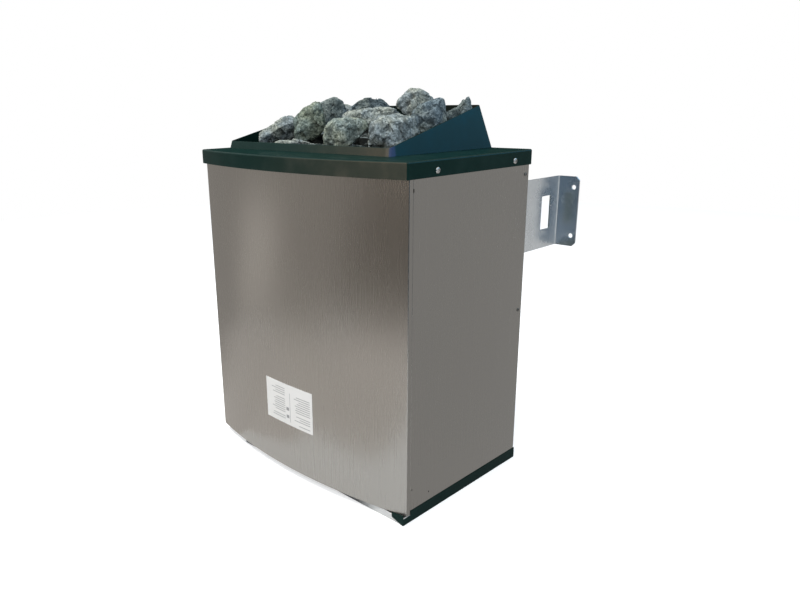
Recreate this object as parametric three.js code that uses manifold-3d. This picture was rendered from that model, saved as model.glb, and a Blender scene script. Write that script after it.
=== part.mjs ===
// Wall-hung sauna heater stove with its stones and wall bracket.
// Millimetres, +Z up, the front faces -Y and the wall is at +Y.
import * as THREE from 'three';
import { mergeVertices } from 'three/addons/utils/BufferGeometryUtils.js';
import Module from 'manifold-3d';

const wasm = await Module();
wasm.setup();

// Clearances and sheet thicknesses
const GAP = 0.3;
const CASE_SHEET = 1.5;
const RIM_SHEET = 0.8;
const HOOD_SHEET = 1.2;
const BRACKET_SHEET = 2;
const OVERCUT = 1;
const CUT_MARGIN = 20;
const MERGE_TOLERANCE = 1e-4;

// Casing: y = 0 at the front corners, z = 0 under the base
const PANEL_HALF_WIDTH = 209.3;
const CASE_DEPTH = 257;
const FRONT_BOW = 24.5;
const FRONT_BOTTOM = 10;
const FRONT_RETURN = 6;
const SIDE_FRONT_FOLD = 13;
const SIDE_REAR_FOLD = 18;

// Painted top rim
const RIM_HALF_WIDTH = 210.5;
const RIM_FRONT_OVERHANG = 6.6;
const RIM_REAR = 262;
const RIM_SKIRT = 21;
const RIM_TOP = 477;
const RIM_PLATE = 1.5;
const PANEL_TOP = RIM_TOP - RIM_PLATE - GAP;
const MOUTH = { left: -190, right: 136, front: 46, rear: 236 };

// Stone hood, its feet on the rim
const HOOD = { left: -199, right: 144, front: 37, rear: 262 };
const HOOD_CORNER = 5;
const HOOD_CORNER_MIN = 1;
const HOOD_FRONT_HEIGHT = 10.5;
const HOOD_REAR_HEIGHT = 60;
const HOOD_SIDE_LEAN = 0.15;
const HOOD_FRONT_LEAN = 0.25;
const HOOD_REAR_LEAN = 0.37;
const HOOD_FLANGE = 8;
const HOOD_BOTTOM = RIM_TOP + GAP;

// Base frame and painted skirts
const BASE_FRONT = -8.3;
const BASE_REAR = 252;
const BASE_HALF_WIDTH = 209.4;
const BASE_HEIGHT = 9.5;
const BASE_NOTCH = { right: -138, rear: 12 };
const AIR_INLET = { left: -192, right: 138, front: 44, rear: 236 };
const SKIRT_HEIGHT = 13;
const SKIRT_SHEET = 0.8;
const SKIRT_RETURN = 20;
const SKIRT_RETURN_EDGE = 7;
const SKIRT_LEDGE = 16;
const SIDE_BOTTOM = SKIRT_LEDGE + GAP;
const FLOOR = CASE_SHEET + GAP;

// Rear panel with air slots and the cord's gland
const REAR_PANEL_Y = 243;
const REAR_FLANGE = 10;
const REAR_BOTTOM = 20;
const SLOT = { width: 50, height: 8, pitch: 64, rows: [90, 120, 300], perRow: 5 };
const GLAND = { x: 172, z: 52, radius: 10, bore: 6, inside: 10, reach: 20 };
const GLAND_HEAD = { radius: 14, height: 8, domeRadius: 12, nutHeight: 6 };

// Hot-air liner and shields
const LINER = { left: -194, right: 140, front: 42, rear: 238 };
const LINER_SHEET = 1.2;
const SHIELD = { halfWidth: 190, y: 22 };

// Stone grate
const GRATE_TOP = 451;
const GRATE_BAR = 6;
const GRATE_BARS = 12;
const GRATE_BEARERS = [78, 208];
const GRATE_PLAY = 2;
const GRATE_RAIL = { leg: 10, sheet: 2, drop: 9.3, inset: 8 };

// Heating elements: four level passes each, cold ends to the right
const ELEMENT_RADIUS = 4;
const ELEMENT_SIDES = 6;
const ELEMENT_STEPS = 52;
const ELEMENT_ROWS = [84, 142, 200];
const ELEMENT_PASSES = [310, 345, 380, 415];
const ELEMENT_LEFT = -150;
const ELEMENT_RIGHT = 100;
const ELEMENT_END = 166;
const ELEMENT_HOLE = 4.8;
const ELEMENT_BEND = 2 / 3;
const ELEMENT_FLANGE = { sheet: 2.5, front: 64, rear: 220, bottom: 292, top: 433 };
const ELEMENT_SUPPORT = { x: -120, sheet: 2, front: 60, rear: 224, bottom: 296, top: 430 };

// Electrics behind the right-hand panel
const TERMINAL = { x: 166, y: 96, z: 96, width: 22, length: 92, height: 30 };
const TERMINAL_BORE = { radius: 4, depth: 14 };
const TERMINAL_FOOT = { sheet: 1.5, length: 110, reach: 40 };
const LEAD = { radius: 2, sides: 6, steps: 14, straight: 10, bow: 6, drop: 50, plunge: 10 };
const LINK = { thickness: 2, height: 12, margin: 8 };
const EARTH = { x: 190, y: 70, radius: 3, height: 22, nutRadius: 6, nutHeight: 5 };

// Wall bracket: a hat section, flange to arm to web to arm to flange
const ARM_X = 204;
const WEB_Y = 258.5;
const WALL_Y = 355;
const FLANGE_REACH = 33;
const BRACKET_BOTTOM = 327.5;
const BRACKET_TOP = 432.5;
const FLANGE_CHAMFER = 5.5;
const WINDOW = { front: 306, rear: 331, bottom: 355.5, top: 405.5 };
const WALL_HOLE = { radius: 3.5, x: 228.5, inset: 16 };
const HOOK = { x: 120, width: 30, sheet: 2, bottom: 372, lip: 20 };

// Screws
const RIM_SCREW = { ys: [49, 217], z: 463.5, headRadius: 4, headHeight: 2.6, shank: 1.9, length: 8 };
const SIDE_SCREW = { y: 248, zs: [245, 443], headRadius: 2.6, headHeight: 1.4, shank: 1.4, length: 7 };
const SCREW_HOLE_PLAY = 0.4;
const SCREW_DRILL = { from: 200, to: 220 };
const SCREW_DOME_STEPS = 3;

// Rounding
const ARC_STEPS = 12;
const CORNER_STEPS = 2;
const ROUND_SIDES = 12;
const HOLE_SIDES = 8;
const SCREW_SIDES = 10;
const HEX_SIDES = 6;

// Stones: centre, outline as (right, up) from the front right corner's side, and thickness that way
const STONE_GAP = 0.5;
const STONE_RISE = 110;
const STONE_FACING = 45;
const STONE_STEPS = 3;
const STONE_END_SCALE = 0.62;
const STONE_SKEW = 4;
const HALF_SPACE = 400;
const STONES = {
  stone_left_wedge: {
    at: [-131, 84, 505],
    thick: 46,
    face: [[-29, -21], [-5, -24], [22, -18], [31, 3], [29, 19], [19, 22], [8, 21], [-9, 9], [-25, -6]],
  },
  stone_front_slab: {
    at: [-68, 60, 489],
    thick: 24,
    face: [[-22, -38], [26, -38], [40, -6], [31, 2], [14, 6], [-10, 7], [-33, 4], [-38, -3]],
  },
  stone_big_left: {
    at: [-88, 112, 514],
    thick: 52,
    face: [
      [2, -29], [18, -17], [25, 2], [25, 17], [18, 29],
      [5, 31], [-10, 23], [-19, 9], [-23, -8], [-13, -24],
    ],
  },
  stone_blue: {
    at: [-86, 160, 529],
    thick: 46,
    face: [[2, -26], [18, -9], [21, 3], [12, 16], [1, 22], [-10, 16], [-21, 6], [-18, -16]],
  },
  stone_back_small: {
    at: [-104, 208, 530],
    thick: 36,
    face: [[-18, -18], [18, -18], [22, 0], [8, 10], [-10, 9], [-22, -4]],
  },
  stone_back_centre: {
    at: [-48, 205, 537],
    thick: 44,
    face: [[-20, -22], [20, -22], [33, -2], [22, 6], [8, 12], [-11, 11], [-22, 6], [-31, -4]],
  },
  stone_front_centre: {
    at: [23, 80, 504],
    thick: 52,
    face: [[-28, -22], [-3, -24], [13, -17], [28, -3], [31, 12], [15, 23], [-4, 24], [-21, 17], [-29, 1]],
  },
  stone_middle: {
    at: [19, 135, 523],
    thick: 48,
    face: [[-16, -18], [28, -18], [39, -1], [33, 9], [16, 14], [-9, 14], [-28, 9], [-38, 1]],
  },
  stone_front_right: {
    at: [107, 84, 504],
    thick: 54,
    face: [
      [-29, -22], [5, -24], [25, -12], [35, 3], [31, 15],
      [16, 22], [-3, 23], [-20, 18], [-32, 7], [-36, -9],
    ],
  },
  stone_peak: {
    at: [54, 190, 542],
    thick: 50,
    face: [[-7, -22], [20, -13], [29, 1], [23, 10], [10, 18], [-2, 21], [-11, 16], [-21, 6], [-27, -12]],
  },
  stone_right: {
    at: [111, 150, 520],
    thick: 46,
    face: [[-14, -28], [8, -20], [23, -2], [24, 14], [20, 25], [10, 28], [-5, 21], [-17, 12], [-24, -2]],
  },
  stone_right_low: {
    at: [114, 196, 524],
    thick: 26,
    face: [[-4, -16], [12, -12], [13, 6], [3, 10], [-9, 6], [-13, -7]],
  },
  stone_right_point: {
    at: [122, 213, 534],
    thick: 22,
    face: [[-4, -18], [10, -12], [13, -1], [11, 12], [7, 18], [-1, 9], [-8, -2], [-13, -14]],
  },
};

// Stones under the visible ones, on the grate: centre, width, thickness and height
const BED_STONES = [
  { at: [-150, 104, 467], size: [92, 78, 42] },
  { at: [-148, 190, 478], size: [92, 84, 64] },
  { at: [-80, 108, 466], size: [84, 80, 40] },
  { at: [-70, 192, 482], size: [90, 84, 74] },
  { at: [2, 98, 466], size: [96, 80, 40] },
  { at: [12, 180, 483], size: [92, 90, 74] },
  { at: [90, 100, 466], size: [92, 84, 40] },
  { at: [94, 184, 481], size: [84, 84, 72] },
];
const BED_SIDES = 8;
const BED_JITTER = 0.6;
const BED_OUTLINE_SEED = 50;
const BED_LUMP_SEED = 70;
const SHOWN_FIRMNESS = 3;
const BED_FIRMNESS = 1;

// Finishes
function finish(color, roughness, metalness) {
  return new THREE.MeshStandardMaterial({ color, roughness, metalness });
}

const STEEL = finish(0x9a948c, 0.38, 1);
const TEAL = finish(0x1b3538, 0.4, 0.1);
const GALVANISED = finish(0x9aa3ac, 0.45, 0.9);
const SHIELD_STEEL = finish(0x8b8d8f, 0.5, 0.9);
const ELEMENT_STEEL = finish(0x4a4440, 0.55, 0.8);
const CERAMIC = finish(0xe6e0d2, 0.6, 0);
const BRASS = finish(0xb08d4a, 0.35, 1);
const WIRE = finish(0xb4402c, 0.6, 0);
const PLASTIC = finish(0x2a2c2e, 0.6, 0);
const SCREW_STEEL = finish(0xc8ccd0, 0.3, 1);
const STONE = finish(0x79847f, 0.9, 0);

const stove = new THREE.Group();

// Solids from geometry and back

function solidOf(geometry) {
  const bare = geometry.clone();
  bare.deleteAttribute('normal');
  bare.deleteAttribute('uv');
  const merged = mergeVertices(bare, MERGE_TOLERANCE);
  const vertProperties = new Float32Array(merged.attributes.position.array);
  const triVerts = new Uint32Array(merged.index.array);
  return new wasm.Manifold(new wasm.Mesh({ numProp: 3, vertProperties, triVerts }));
}

function geometryOf(solid) {
  const mesh = solid.getMesh();
  const geometry = new THREE.BufferGeometry();
  geometry.setAttribute('position', new THREE.BufferAttribute(new Float32Array(mesh.vertProperties), 3));
  geometry.setIndex(new THREE.BufferAttribute(new Uint32Array(mesh.triVerts), 1));
  geometry.computeVertexNormals();
  return geometry;
}

function cut(solid, ...tools) {
  return tools.reduce((rest, tool) => rest.subtract(tool), solid);
}

function join(...solids) {
  return solids.reduce((sum, solid) => sum.add(solid));
}

function addPart(name, solid, material) {
  const geometry = solid.isBufferGeometry ? solid : geometryOf(solid);
  const mesh = new THREE.Mesh(geometry, material);
  mesh.name = name;
  stove.add(mesh);
}

// Basic shapes

function box(x0, x1, y0, y1, z0, z1) {
  const geometry = new THREE.BoxGeometry(Math.abs(x1 - x0), y1 - y0, z1 - z0);
  geometry.translate((x0 + x1) / 2, (y0 + y1) / 2, (z0 + z1) / 2);
  return solidOf(geometry);
}

function extrudeUp(shape, z0, z1, curveSegments = ARC_STEPS) {
  const depth = z1 - z0;
  const geometry = new THREE.ExtrudeGeometry(shape, { depth, bevelEnabled: false, curveSegments });
  geometry.translate(0, 0, z0);
  return geometry;
}

// A shape drawn in (y, z) and run along X
function extrudeAcross(shape, x0, x1) {
  const geometry = extrudeUp(shape, x0, x1);
  const toRow = new THREE.Matrix4().set(0, 0, 1, 0, 1, 0, 0, 0, 0, 1, 0, 0, 0, 0, 0, 1);
  return geometry.applyMatrix4(toRow);
}

// A shape drawn in (x, z) and run along Y
function extrudeBack(shape, y0, y1) {
  const geometry = extrudeUp(shape, -y1, -y0);
  return geometry.rotateX(Math.PI / 2);
}

function polygon(points) {
  return new THREE.Shape(points.map(([x, y]) => new THREE.Vector2(x, y)));
}

function rodAlongX(radius, x0, x1, y, z, sides = ROUND_SIDES) {
  const geometry = new THREE.CylinderGeometry(radius, radius, Math.abs(x1 - x0), sides);
  geometry.rotateZ(Math.PI / 2).translate((x0 + x1) / 2, y, z);
  return solidOf(geometry);
}

function rodAlongY(radius, y0, y1, x, z, sides = ROUND_SIDES) {
  const geometry = new THREE.CylinderGeometry(radius, radius, y1 - y0, sides);
  geometry.translate(x, (y0 + y1) / 2, z);
  return solidOf(geometry);
}

function rodUp(radius, z0, z1, x, y, sides = ROUND_SIDES) {
  const geometry = new THREE.CylinderGeometry(radius, radius, z1 - z0, sides);
  geometry.rotateX(Math.PI / 2).translate(x, y, (z0 + z1) / 2);
  return solidOf(geometry);
}

function tube(curve, radius, sides, steps) {
  const section = new THREE.Shape(
    Array.from({ length: sides }, (_, k) => {
      const angle = (2 * Math.PI * k) / sides;
      return new THREE.Vector2(radius * Math.cos(angle), radius * Math.sin(angle));
    }),
  );
  return new THREE.ExtrudeGeometry(section, { steps, bevelEnabled: false, extrudePath: curve });
}

// Bowed front arc: centre and radius for a given half width, corner depth and bow
function bowArc(halfWidth, cornerY, bow) {
  const radius = (halfWidth * halfWidth + bow * bow) / (2 * bow);
  return { radius, centreY: cornerY - bow + radius };
}

function cornerYOnArc(arc, radius, halfWidth) {
  return arc.centreY - Math.sqrt(radius * radius - halfWidth * halfWidth);
}

function arcAcross(shape, arc, radius, halfWidth, leftToRight) {
  const spread = Math.asin(halfWidth / radius);
  const low = -Math.PI / 2 - spread;
  const high = -Math.PI / 2 + spread;
  if (leftToRight) shape.absarc(0, arc.centreY, radius, low, high, false);
  else shape.absarc(0, arc.centreY, radius, high, low, true);
}

// Casing panels

function frontPanel() {
  const half = PANEL_HALF_WIDTH;
  const inner = half - CASE_SHEET;
  const arc = bowArc(half, 0, FRONT_BOW);
  const innerRadius = arc.radius - CASE_SHEET;
  const innerCorner = cornerYOnArc(arc, innerRadius, inner);
  const shape = new THREE.Shape();
  shape.moveTo(-half, FRONT_RETURN);
  shape.lineTo(-half, 0);
  arcAcross(shape, arc, arc.radius, half, true);
  shape.lineTo(half, FRONT_RETURN);
  shape.lineTo(inner, FRONT_RETURN);
  shape.lineTo(inner, innerCorner);
  arcAcross(shape, arc, innerRadius, inner, false);
  shape.lineTo(-inner, FRONT_RETURN);
  return solidOf(extrudeUp(shape, FRONT_BOTTOM, PANEL_TOP));
}

function sidePanel(side) {
  const out = side * PANEL_HALF_WIDTH;
  const skin = side * (PANEL_HALF_WIDTH - CASE_SHEET);
  const front = FRONT_RETURN + 2 * GAP;
  const frontFold = side * (PANEL_HALF_WIDTH - SIDE_FRONT_FOLD);
  const rearFold = side * (PANEL_HALF_WIDTH - SIDE_REAR_FOLD);
  const shape = polygon([
    [out, front],
    [out, CASE_DEPTH],
    [rearFold, CASE_DEPTH],
    [rearFold, CASE_DEPTH - CASE_SHEET],
    [skin, CASE_DEPTH - CASE_SHEET],
    [skin, front + CASE_SHEET],
    [frontFold, front + CASE_SHEET],
    [frontFold, front],
  ]);
  const sheet = solidOf(extrudeUp(shape, SIDE_BOTTOM, PANEL_TOP));
  return cut(sheet, ...screwHoles(side));
}

function screwHoles(side) {
  const from = side * SCREW_DRILL.from;
  const to = side * SCREW_DRILL.to;
  const hole = (spec, y, z) => rodAlongX(spec.shank + SCREW_HOLE_PLAY, from, to, y, z, HOLE_SIDES);
  return [
    ...RIM_SCREW.ys.map((y) => hole(RIM_SCREW, y, RIM_SCREW.z)),
    ...SIDE_SCREW.zs.map((z) => hole(SIDE_SCREW, SIDE_SCREW.y, z)),
  ];
}

function rearPanel() {
  const half = PANEL_HALF_WIDTH - CASE_SHEET - 2 * GAP;
  const skin = half - CASE_SHEET;
  const back = REAR_PANEL_Y + CASE_SHEET;
  const edge = REAR_PANEL_Y + REAR_FLANGE;
  const shape = polygon([
    [-half, REAR_PANEL_Y],
    [half, REAR_PANEL_Y],
    [half, edge],
    [skin, edge],
    [skin, back],
    [-skin, back],
    [-skin, edge],
    [-half, edge],
  ]);
  const sheet = solidOf(extrudeUp(shape, REAR_BOTTOM, PANEL_TOP));
  const inside = REAR_PANEL_Y - OVERCUT;
  const outside = back + OVERCUT;
  const slots = [];
  for (const z of SLOT.rows) {
    for (let k = 0; k < SLOT.perRow; k += 1) {
      const x = (k - (SLOT.perRow - 1) / 2) * SLOT.pitch - SLOT.width / 2;
      slots.push(box(x, x + SLOT.width, inside, outside, z, z + SLOT.height));
    }
  }
  const glandHole = rodAlongY(GLAND.radius + GAP, inside, outside, GLAND.x, GLAND.z);
  return cut(sheet, glandHole, ...slots, ...screwHoles(1), ...screwHoles(-1));
}

// Painted rim

function rimOutline(inset) {
  const half = RIM_HALF_WIDTH - inset;
  const arc = bowArc(RIM_HALF_WIDTH, -RIM_FRONT_OVERHANG, FRONT_BOW);
  const shape = new THREE.Shape();
  shape.moveTo(-half, RIM_REAR - inset);
  shape.lineTo(-half, cornerYOnArc(arc, arc.radius - inset, half));
  arcAcross(shape, arc, arc.radius - inset, half, true);
  shape.lineTo(half, RIM_REAR - inset);
  return shape;
}

function topFrame() {
  const bottom = RIM_TOP - RIM_SKIRT;
  const full = solidOf(extrudeUp(rimOutline(0), bottom, RIM_TOP));
  const hollow = solidOf(extrudeUp(rimOutline(RIM_SHEET), bottom - OVERCUT, RIM_TOP - RIM_PLATE));
  const mouth = box(MOUTH.left, MOUTH.right, MOUTH.front, MOUTH.rear, bottom, RIM_TOP + OVERCUT);
  return cut(full, hollow, mouth, ...screwHoles(1), ...screwHoles(-1));
}

// Stone hood: a rounded rectangle whose walls lean in as they rise

function hoodShell(inset, z0, z1) {
  const left = HOOD.left + inset;
  const right = HOOD.right - inset;
  const front = HOOD.front + inset;
  const rear = HOOD.rear - inset;
  const r = Math.max(HOOD_CORNER - inset, HOOD_CORNER_MIN);
  const shape = new THREE.Shape();
  shape.moveTo(left + r, front);
  shape.lineTo(right - r, front);
  shape.absarc(right - r, front + r, r, -Math.PI / 2, 0, false);
  shape.lineTo(right, rear - r);
  shape.absarc(right - r, rear - r, r, 0, Math.PI / 2, false);
  shape.lineTo(left + r, rear);
  shape.absarc(left + r, rear - r, r, Math.PI / 2, Math.PI, false);
  shape.lineTo(left, front + r);
  shape.absarc(left + r, front + r, r, Math.PI, 1.5 * Math.PI, false);
  return solidOf(leanIn(extrudeUp(shape, z0, z1, CORNER_STEPS)));
}

function leanIn(geometry) {
  const position = geometry.attributes.position;
  for (let k = 0; k < position.count; k += 1) {
    const rise = position.getZ(k) - HOOD_BOTTOM;
    const across = (position.getX(k) - HOOD.left) / (HOOD.right - HOOD.left);
    const back = (position.getY(k) - HOOD.front) / (HOOD.rear - HOOD.front);
    position.setX(k, position.getX(k) + rise * HOOD_SIDE_LEAN * (1 - 2 * across));
    position.setY(k, position.getY(k) + rise * (HOOD_FRONT_LEAN * (1 - back) - HOOD_REAR_LEAN * back));
  }
  return geometry;
}

function stoneHood() {
  const top = HOOD_BOTTOM + HOOD_REAR_HEIGHT;
  const outer = hoodShell(0, HOOD_BOTTOM, top);
  const inner = hoodShell(HOOD_SHEET, HOOD_BOTTOM + HOOD_SHEET, top + OVERCUT);
  const mouth = hoodShell(HOOD_FLANGE, HOOD_BOTTOM - OVERCUT, top + OVERCUT);
  const frontTop = HOOD.front + HOOD_FRONT_LEAN * HOOD_FRONT_HEIGHT;
  const rearTop = HOOD.rear - HOOD_REAR_LEAN * HOOD_REAR_HEIGHT;
  const slope = (HOOD_REAR_HEIGHT - HOOD_FRONT_HEIGHT) / (rearTop - frontTop);
  const before = HOOD.front - CUT_MARGIN;
  const zBefore = HOOD_BOTTOM + HOOD_FRONT_HEIGHT + slope * (before - frontTop);
  const above = polygon([
    [before, zBefore],
    [rearTop, top],
    [rearTop, top + CUT_MARGIN],
    [before, top + CUT_MARGIN],
  ]);
  const opening = solidOf(extrudeAcross(above, HOOD.left - CUT_MARGIN, HOOD.right + CUT_MARGIN));
  return cut(outer, inner, mouth, opening);
}

// Base frame and skirts

function basePan() {
  const tray = box(-BASE_HALF_WIDTH, BASE_HALF_WIDTH, BASE_FRONT, BASE_REAR, 0, BASE_HEIGHT);
  const s = CASE_SHEET;
  const half = BASE_HALF_WIDTH - s;
  const hollow = box(-half, half, BASE_FRONT + s, BASE_REAR - s, s, BASE_HEIGHT + OVERCUT);
  const notch = baseNotch(0);
  const room = cut(hollow, baseNotch(s));
  const inlet = box(AIR_INLET.left, AIR_INLET.right, AIR_INLET.front, AIR_INLET.rear, -OVERCUT, s + OVERCUT);
  const earthHole = rodUp(EARTH.radius + GAP, -OVERCUT, s + OVERCUT, EARTH.x, EARTH.y);
  return cut(tray, notch, room, inlet, earthHole);
}

// The corner cut away behind the left end of the front panel
function baseNotch(wall) {
  const left = -BASE_HALF_WIDTH - OVERCUT;
  const front = BASE_FRONT - OVERCUT;
  const top = BASE_HEIGHT + OVERCUT;
  return box(left, BASE_NOTCH.right + wall, front, BASE_NOTCH.rear + wall, -OVERCUT, top);
}

function baseSkirt(side) {
  const out = side * RIM_HALF_WIDTH;
  const skin = side * (RIM_HALF_WIDTH - SKIRT_SHEET);
  const ledge = side * (BASE_HALF_WIDTH - SIDE_FRONT_FOLD);
  const front = side > 0 ? BASE_FRONT - GAP - SKIRT_SHEET : BASE_NOTCH.rear;
  const shelfFront = Math.max(front, FRONT_RETURN + 2 * GAP);
  const wall = box(out, skin, front, CASE_DEPTH, 0, SKIRT_LEDGE);
  const shelf = box(out, ledge, shelfFront, CASE_DEPTH, SKIRT_LEDGE - SKIRT_SHEET, SKIRT_LEDGE);
  const strip = join(wall, shelf);
  return side > 0 ? join(cut(strip, foldRoom(front)), skirtReturn(front)) : strip;
}

// Room in the right-hand skirt for the lower end of the front panel's fold
function foldRoom(front) {
  const inner = RIM_HALF_WIDTH - SKIRT_SHEET - OVERCUT;
  const outer = RIM_HALF_WIDTH + OVERCUT;
  const rear = FRONT_RETURN + 2 * GAP;
  return box(inner, outer, front + SKIRT_SHEET, rear, FRONT_BOTTOM - GAP, SKIRT_LEDGE + OVERCUT);
}

// The right-hand skirt's short fold round the base's front corner
function skirtReturn(front) {
  const out = RIM_HALF_WIDTH;
  const end = RIM_HALF_WIDTH - SKIRT_RETURN;
  const fold = polygon([
    [out, 0],
    [out, SKIRT_LEDGE],
    [end, SKIRT_HEIGHT],
    [end, SKIRT_HEIGHT - SKIRT_RETURN_EDGE],
  ]);
  return solidOf(extrudeBack(fold, front, front + SKIRT_SHEET));
}

// Liner, shields and grate

function innerLiner() {
  const s = LINER_SHEET;
  const shaft = box(LINER.left, LINER.right, LINER.front, LINER.rear, FLOOR, PANEL_TOP);
  const left = LINER.left + s;
  const right = LINER.right - s;
  const hollow = box(
    left, right, LINER.front + s, LINER.rear - s, FLOOR - OVERCUT, PANEL_TOP + OVERCUT,
  );
  return cut(shaft, hollow, ...elementHoles(right - OVERCUT, LINER.right + OVERCUT));
}

function frontHeatShield() {
  const { halfWidth, y } = SHIELD;
  return box(-halfWidth, halfWidth, y, y + LINER_SHEET, FLOOR, PANEL_TOP);
}

function elementHoles(x0, x1, passes = [ELEMENT_PASSES.at(0), ELEMENT_PASSES.at(-1)]) {
  return ELEMENT_ROWS.flatMap((y) => passes.map((z) => rodAlongX(ELEMENT_HOLE, x0, x1, y, z, HOLE_SIDES)));
}

function stoneGrate() {
  const inset = LINER_SHEET + GRATE_PLAY;
  const x0 = LINER.left + inset;
  const x1 = LINER.right - inset;
  const y0 = LINER.front + inset;
  const y1 = LINER.rear - inset;
  const bottom = GRATE_TOP - GRATE_BAR;
  const bearers = GRATE_BEARERS.map((y) => {
    return box(x0, x1, y, y + GRATE_BAR, bottom - GRATE_BAR / 2, bottom + GRATE_BAR / 2);
  });
  const bars = Array.from({ length: GRATE_BARS }, (_, k) => {
    const x = x0 + ((k + 0.5) * (x1 - x0)) / GRATE_BARS - GRATE_BAR / 2;
    return box(x, x + GRATE_BAR, y0, y1, bottom, GRATE_TOP);
  });
  return join(...bearers, ...bars);
}

function grateRail(wallX, inward) {
  const { leg, sheet, drop, inset } = GRATE_RAIL;
  const top = GRATE_TOP - drop;
  const face = wallX + inward * (LINER_SHEET + GAP);
  const y0 = LINER.front + inset;
  const y1 = LINER.rear - inset;
  const toe = face + inward * leg;
  const shin = face + inward * sheet;
  const shelf = box(face, toe, y0, y1, top - sheet, top);
  const web = box(face, shin, y0, y1, top - leg, top);
  return join(shelf, web);
}

// Heating elements

function elementCurve(y) {
  const path = new THREE.CurvePath();
  const last = ELEMENT_PASSES.length - 1;
  let from = new THREE.Vector3(ELEMENT_END, y, ELEMENT_PASSES[0]);
  ELEMENT_PASSES.forEach((z, pass) => {
    const goingLeft = pass % 2 === 0;
    const endX = pass === last ? ELEMENT_END : goingLeft ? ELEMENT_LEFT : ELEMENT_RIGHT;
    const to = new THREE.Vector3(endX, y, z);
    path.add(new THREE.LineCurve3(from, to));
    from = to;
    if (pass < last) {
      const rise = ELEMENT_PASSES[pass + 1] - z;
      const bulge = (goingLeft ? -1 : 1) * rise * ELEMENT_BEND;
      const next = new THREE.Vector3(endX, y, z + rise);
      const early = new THREE.Vector3(endX + bulge, y, z);
      const late = new THREE.Vector3(endX + bulge, y, z + rise);
      path.add(new THREE.CubicBezierCurve3(to, early, late, next));
      from = next;
    }
  });
  return path;
}

function elementFlange() {
  const f = ELEMENT_FLANGE;
  const x0 = LINER.right + GAP;
  const plate = box(x0, x0 + f.sheet, f.front, f.rear, f.bottom, f.top);
  return cut(plate, ...elementHoles(x0 - OVERCUT, x0 + f.sheet + OVERCUT));
}

function elementSupport() {
  const f = ELEMENT_SUPPORT;
  const plate = box(f.x, f.x + f.sheet, f.front, f.rear, f.bottom, f.top);
  return cut(plate, ...elementHoles(f.x - OVERCUT, f.x + f.sheet + OVERCUT, ELEMENT_PASSES));
}

function starLink() {
  const x0 = ELEMENT_END + GAP;
  const z = ELEMENT_PASSES.at(-1);
  const y0 = ELEMENT_ROWS.at(0) - LINK.margin;
  const y1 = ELEMENT_ROWS.at(-1) + LINK.margin;
  return box(x0, x0 + LINK.thickness, y0, y1, z - LINK.height / 2, z + LINK.height / 2);
}

// Electrics

function terminalBoreY(k) {
  return TERMINAL.y + (TERMINAL.length * (k + 0.5)) / ELEMENT_ROWS.length;
}

function terminalBlock() {
  const t = TERMINAL;
  const { radius, depth } = TERMINAL_BORE;
  const top = t.z + t.height;
  const body = box(t.x, t.x + t.width, t.y, t.y + t.length, t.z, top);
  const bores = ELEMENT_ROWS.map((_, k) => {
    return rodUp(radius, top - depth, top + OVERCUT, t.x + t.width / 2, terminalBoreY(k));
  });
  return cut(body, ...bores);
}

function terminalBracket() {
  const t = TERMINAL;
  const f = TERMINAL_FOOT;
  const y0 = t.y + t.length / 2 - f.length / 2;
  const y1 = y0 + f.length;
  const x1 = t.x - GAP;
  const upright = box(x1 - f.sheet, x1, y0, y1, FLOOR, t.z + t.height);
  const sole = box(x1 - f.sheet, x1 + f.reach, y0, y1, FLOOR, FLOOR + f.sheet);
  return join(upright, sole);
}

function phaseWire(k) {
  const boreX = TERMINAL.x + TERMINAL.width / 2;
  const boreTop = TERMINAL.z + TERMINAL.height;
  const startX = ELEMENT_END + 2 * GAP;
  const y = ELEMENT_ROWS[k];
  const endY = terminalBoreY(k);
  const z = ELEMENT_PASSES[0];
  const curve = new THREE.CatmullRomCurve3([
    new THREE.Vector3(startX, y, z),
    new THREE.Vector3(startX + LEAD.straight, y, z),
    new THREE.Vector3(boreX + LEAD.bow, y, z - LEAD.drop),
    new THREE.Vector3(boreX, endY, boreTop + LEAD.drop),
    new THREE.Vector3(boreX, endY, boreTop - LEAD.plunge),
  ]);
  return tube(curve, LEAD.radius, LEAD.sides, LEAD.steps);
}

function earthStud() {
  const e = EARTH;
  const stud = rodUp(e.radius, GAP, e.height, e.x, e.y);
  const nut = rodUp(e.nutRadius, FLOOR, FLOOR + e.nutHeight, e.x, e.y, HEX_SIDES);
  return join(stud, nut);
}

function cableGland() {
  const { x, z, radius, bore, inside, reach } = GLAND;
  const front = REAR_PANEL_Y - inside;
  const seat = REAR_PANEL_Y + CASE_SHEET + GAP;
  const end = seat + reach;
  const hexEnd = seat + GLAND_HEAD.height;
  const barrel = rodAlongY(radius, front, end, x, z);
  const hex = rodAlongY(GLAND_HEAD.radius, seat, hexEnd, x, z, HEX_SIDES);
  const dome = rodAlongY(GLAND_HEAD.domeRadius, hexEnd - OVERCUT, end, x, z);
  const passage = rodAlongY(bore, front - OVERCUT, end + OVERCUT, x, z);
  return cut(join(barrel, hex, dome), passage);
}

function glandNut() {
  const seat = REAR_PANEL_Y - GAP;
  const front = seat - GLAND_HEAD.nutHeight;
  const nut = rodAlongY(GLAND_HEAD.radius, front, seat, GLAND.x, GLAND.z, HEX_SIDES);
  const hole = rodAlongY(GLAND.radius + GAP, front - OVERCUT, seat + OVERCUT, GLAND.x, GLAND.z);
  return cut(nut, hole);
}

// Wall bracket and the stove's hooks

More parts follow.
